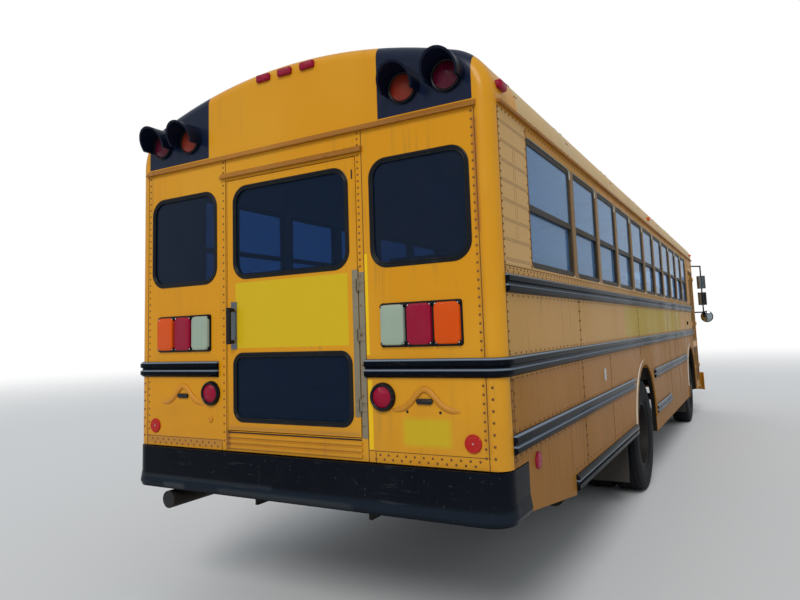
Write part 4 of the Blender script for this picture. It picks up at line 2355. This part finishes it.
@dataclass
class Studio:
    """Pale floor, soft light and the camera."""

    floor_half: float = 90.0
    floor_colour: Colour = (0.66, 0.66, 0.665, 1)
    fade_start: float = 9.0
    fade_end: float = 34.0
    sky_strength: float = 0.62
    key_strength: float = 1.5
    key_from: Point = (-0.80, -0.22, 0.72)
    camera_at: Point = (-2.6366 - MIDDLE, -2.2326, 1.5596)
    yaw: float = 28.6137
    pitch: float = 5.8447
    roll: float = -2.0756
    lens: float = 28.065
    shift: tuple[float, float] = (-0.020, -0.0406)

    def build(self) -> None:
        """Set up floor, light and camera."""
        self._floor()
        self._light()
        self._camera()
        bpy.context.scene.view_settings.view_transform = "Standard"

    def _floor(self) -> None:
        """Lay the floor, which turns white far from the bus."""
        half = self.floor_half
        data = bpy.data.meshes.new("studio_floor")
        data.from_pydata([(-half, -half, 0), (half, -half, 0), (half, half, 0), (-half, half, 0)], [], [(0, 1, 2, 3)])
        floor = add_object("studio_floor", data)
        material = bpy.data.materials.new("studio_floor")
        material.use_nodes = True
        graph = Graph(material.node_tree)
        shader = material.node_tree.nodes["Principled BSDF"]
        shader.inputs["Base Color"].default_value = self.floor_colour
        shader.inputs["Roughness"].default_value = 0.9
        place = graph.add("ShaderNodeTexCoord").outputs["Object"]
        distance = graph.add("ShaderNodeVectorMath", {0: place}, operation="LENGTH").outputs["Value"]
        far = graph.smooth(distance, self.fade_start, self.fade_end)
        path = graph.add("ShaderNodeLightPath")
        seen = graph.math("MULTIPLY", far, path.outputs["Is Camera Ray"])
        glow = graph.add("ShaderNodeEmission", {"Color": (1, 1, 1, 1), "Strength": 1.0})
        blend = graph.add("ShaderNodeMixShader", {0: seen})
        links = material.node_tree.links
        links.new(shader.outputs[0], blend.inputs[1])
        links.new(glow.outputs[0], blend.inputs[2])
        links.new(blend.outputs[0], material.node_tree.nodes["Material Output"].inputs[0])
        data.materials.append(material)

    def _light(self) -> None:
        """Set an even sky and one soft key light."""
        world = bpy.data.worlds.new("studio_world")
        bpy.context.scene.world = world
        world.use_nodes = True
        graph = Graph(world.node_tree)
        sky = world.node_tree.nodes["Background"]
        sky.inputs["Color"].default_value = (0.90, 0.96, 1.0, 1)
        sky.inputs["Strength"].default_value = self.sky_strength
        white = graph.add("ShaderNodeBackground", {"Color": (1, 1, 1, 1), "Strength": 1.0})
        path = graph.add("ShaderNodeLightPath")
        seen = graph.math("MAXIMUM", path.outputs["Is Camera Ray"], path.outputs["Is Transmission Ray"])
        blend = graph.add("ShaderNodeMixShader", {0: seen})
        links = world.node_tree.links
        links.new(sky.outputs[0], blend.inputs[1])
        links.new(white.outputs[0], blend.inputs[2])
        links.new(blend.outputs[0], world.node_tree.nodes["World Output"].inputs[0])
        lamp = bpy.data.lights.new("key_light", "SUN")
        lamp.energy = self.key_strength
        lamp.angle = math.radians(24)
        lamp.color = (1.0, 0.985, 0.96)
        key = add_object("key_light", lamp)
        key.rotation_euler = Vector(self.key_from).to_track_quat("Z", "Y").to_euler()

    def _camera(self) -> None:
        """Stand the camera behind the kerb-side corner."""
        yaw, pitch, roll = (math.radians(value) for value in (self.yaw, self.pitch, self.roll))
        ahead = Vector((math.cos(yaw) * math.cos(pitch), math.sin(yaw) * math.cos(pitch), math.sin(pitch)))
        level = Vector((math.sin(yaw), -math.cos(yaw), 0))
        rise = level.cross(ahead)
        right = level * math.cos(roll) + rise * math.sin(roll)
        top = rise * math.cos(roll) - level * math.sin(roll)
        data = bpy.data.cameras.new("camera")
        data.lens = self.lens
        data.sensor_width = 36.0
        data.shift_x, data.shift_y = self.shift
        data.clip_end = 400.0
        camera = add_object("camera", data)
        turn = Matrix((right, top, -ahead)).transposed().to_4x4()
        camera.matrix_world = Matrix.Translation(self.camera_at) @ turn
        bpy.context.scene.camera = camera


def main() -> None:
    """Build and dress the bus."""
    logging.basicConfig(level=logging.INFO, format="%(message)s")
    palette = Palette()
    Studio().build()
    Paintwork(palette).build()
    shape = BodyShape()
    TailSkirts(palette).build()
    Rivets(palette, shape).build()
    Seams(palette, shape).build()
    Gaskets(palette, shape).build()
    TailLamps(palette, shape).build()
    WarningLamps(palette).build()
    MarkerLamps(palette).build()
    RearFittings(palette, shape).build()
    SideFittings(palette).build()
    Wheels(palette).build()
    Benches(palette).build()
    DriversSeat(palette).build()
    NoseFittings(palette).build()
    DoorFittings(palette).build()


if __name__ == "__main__":
    main()
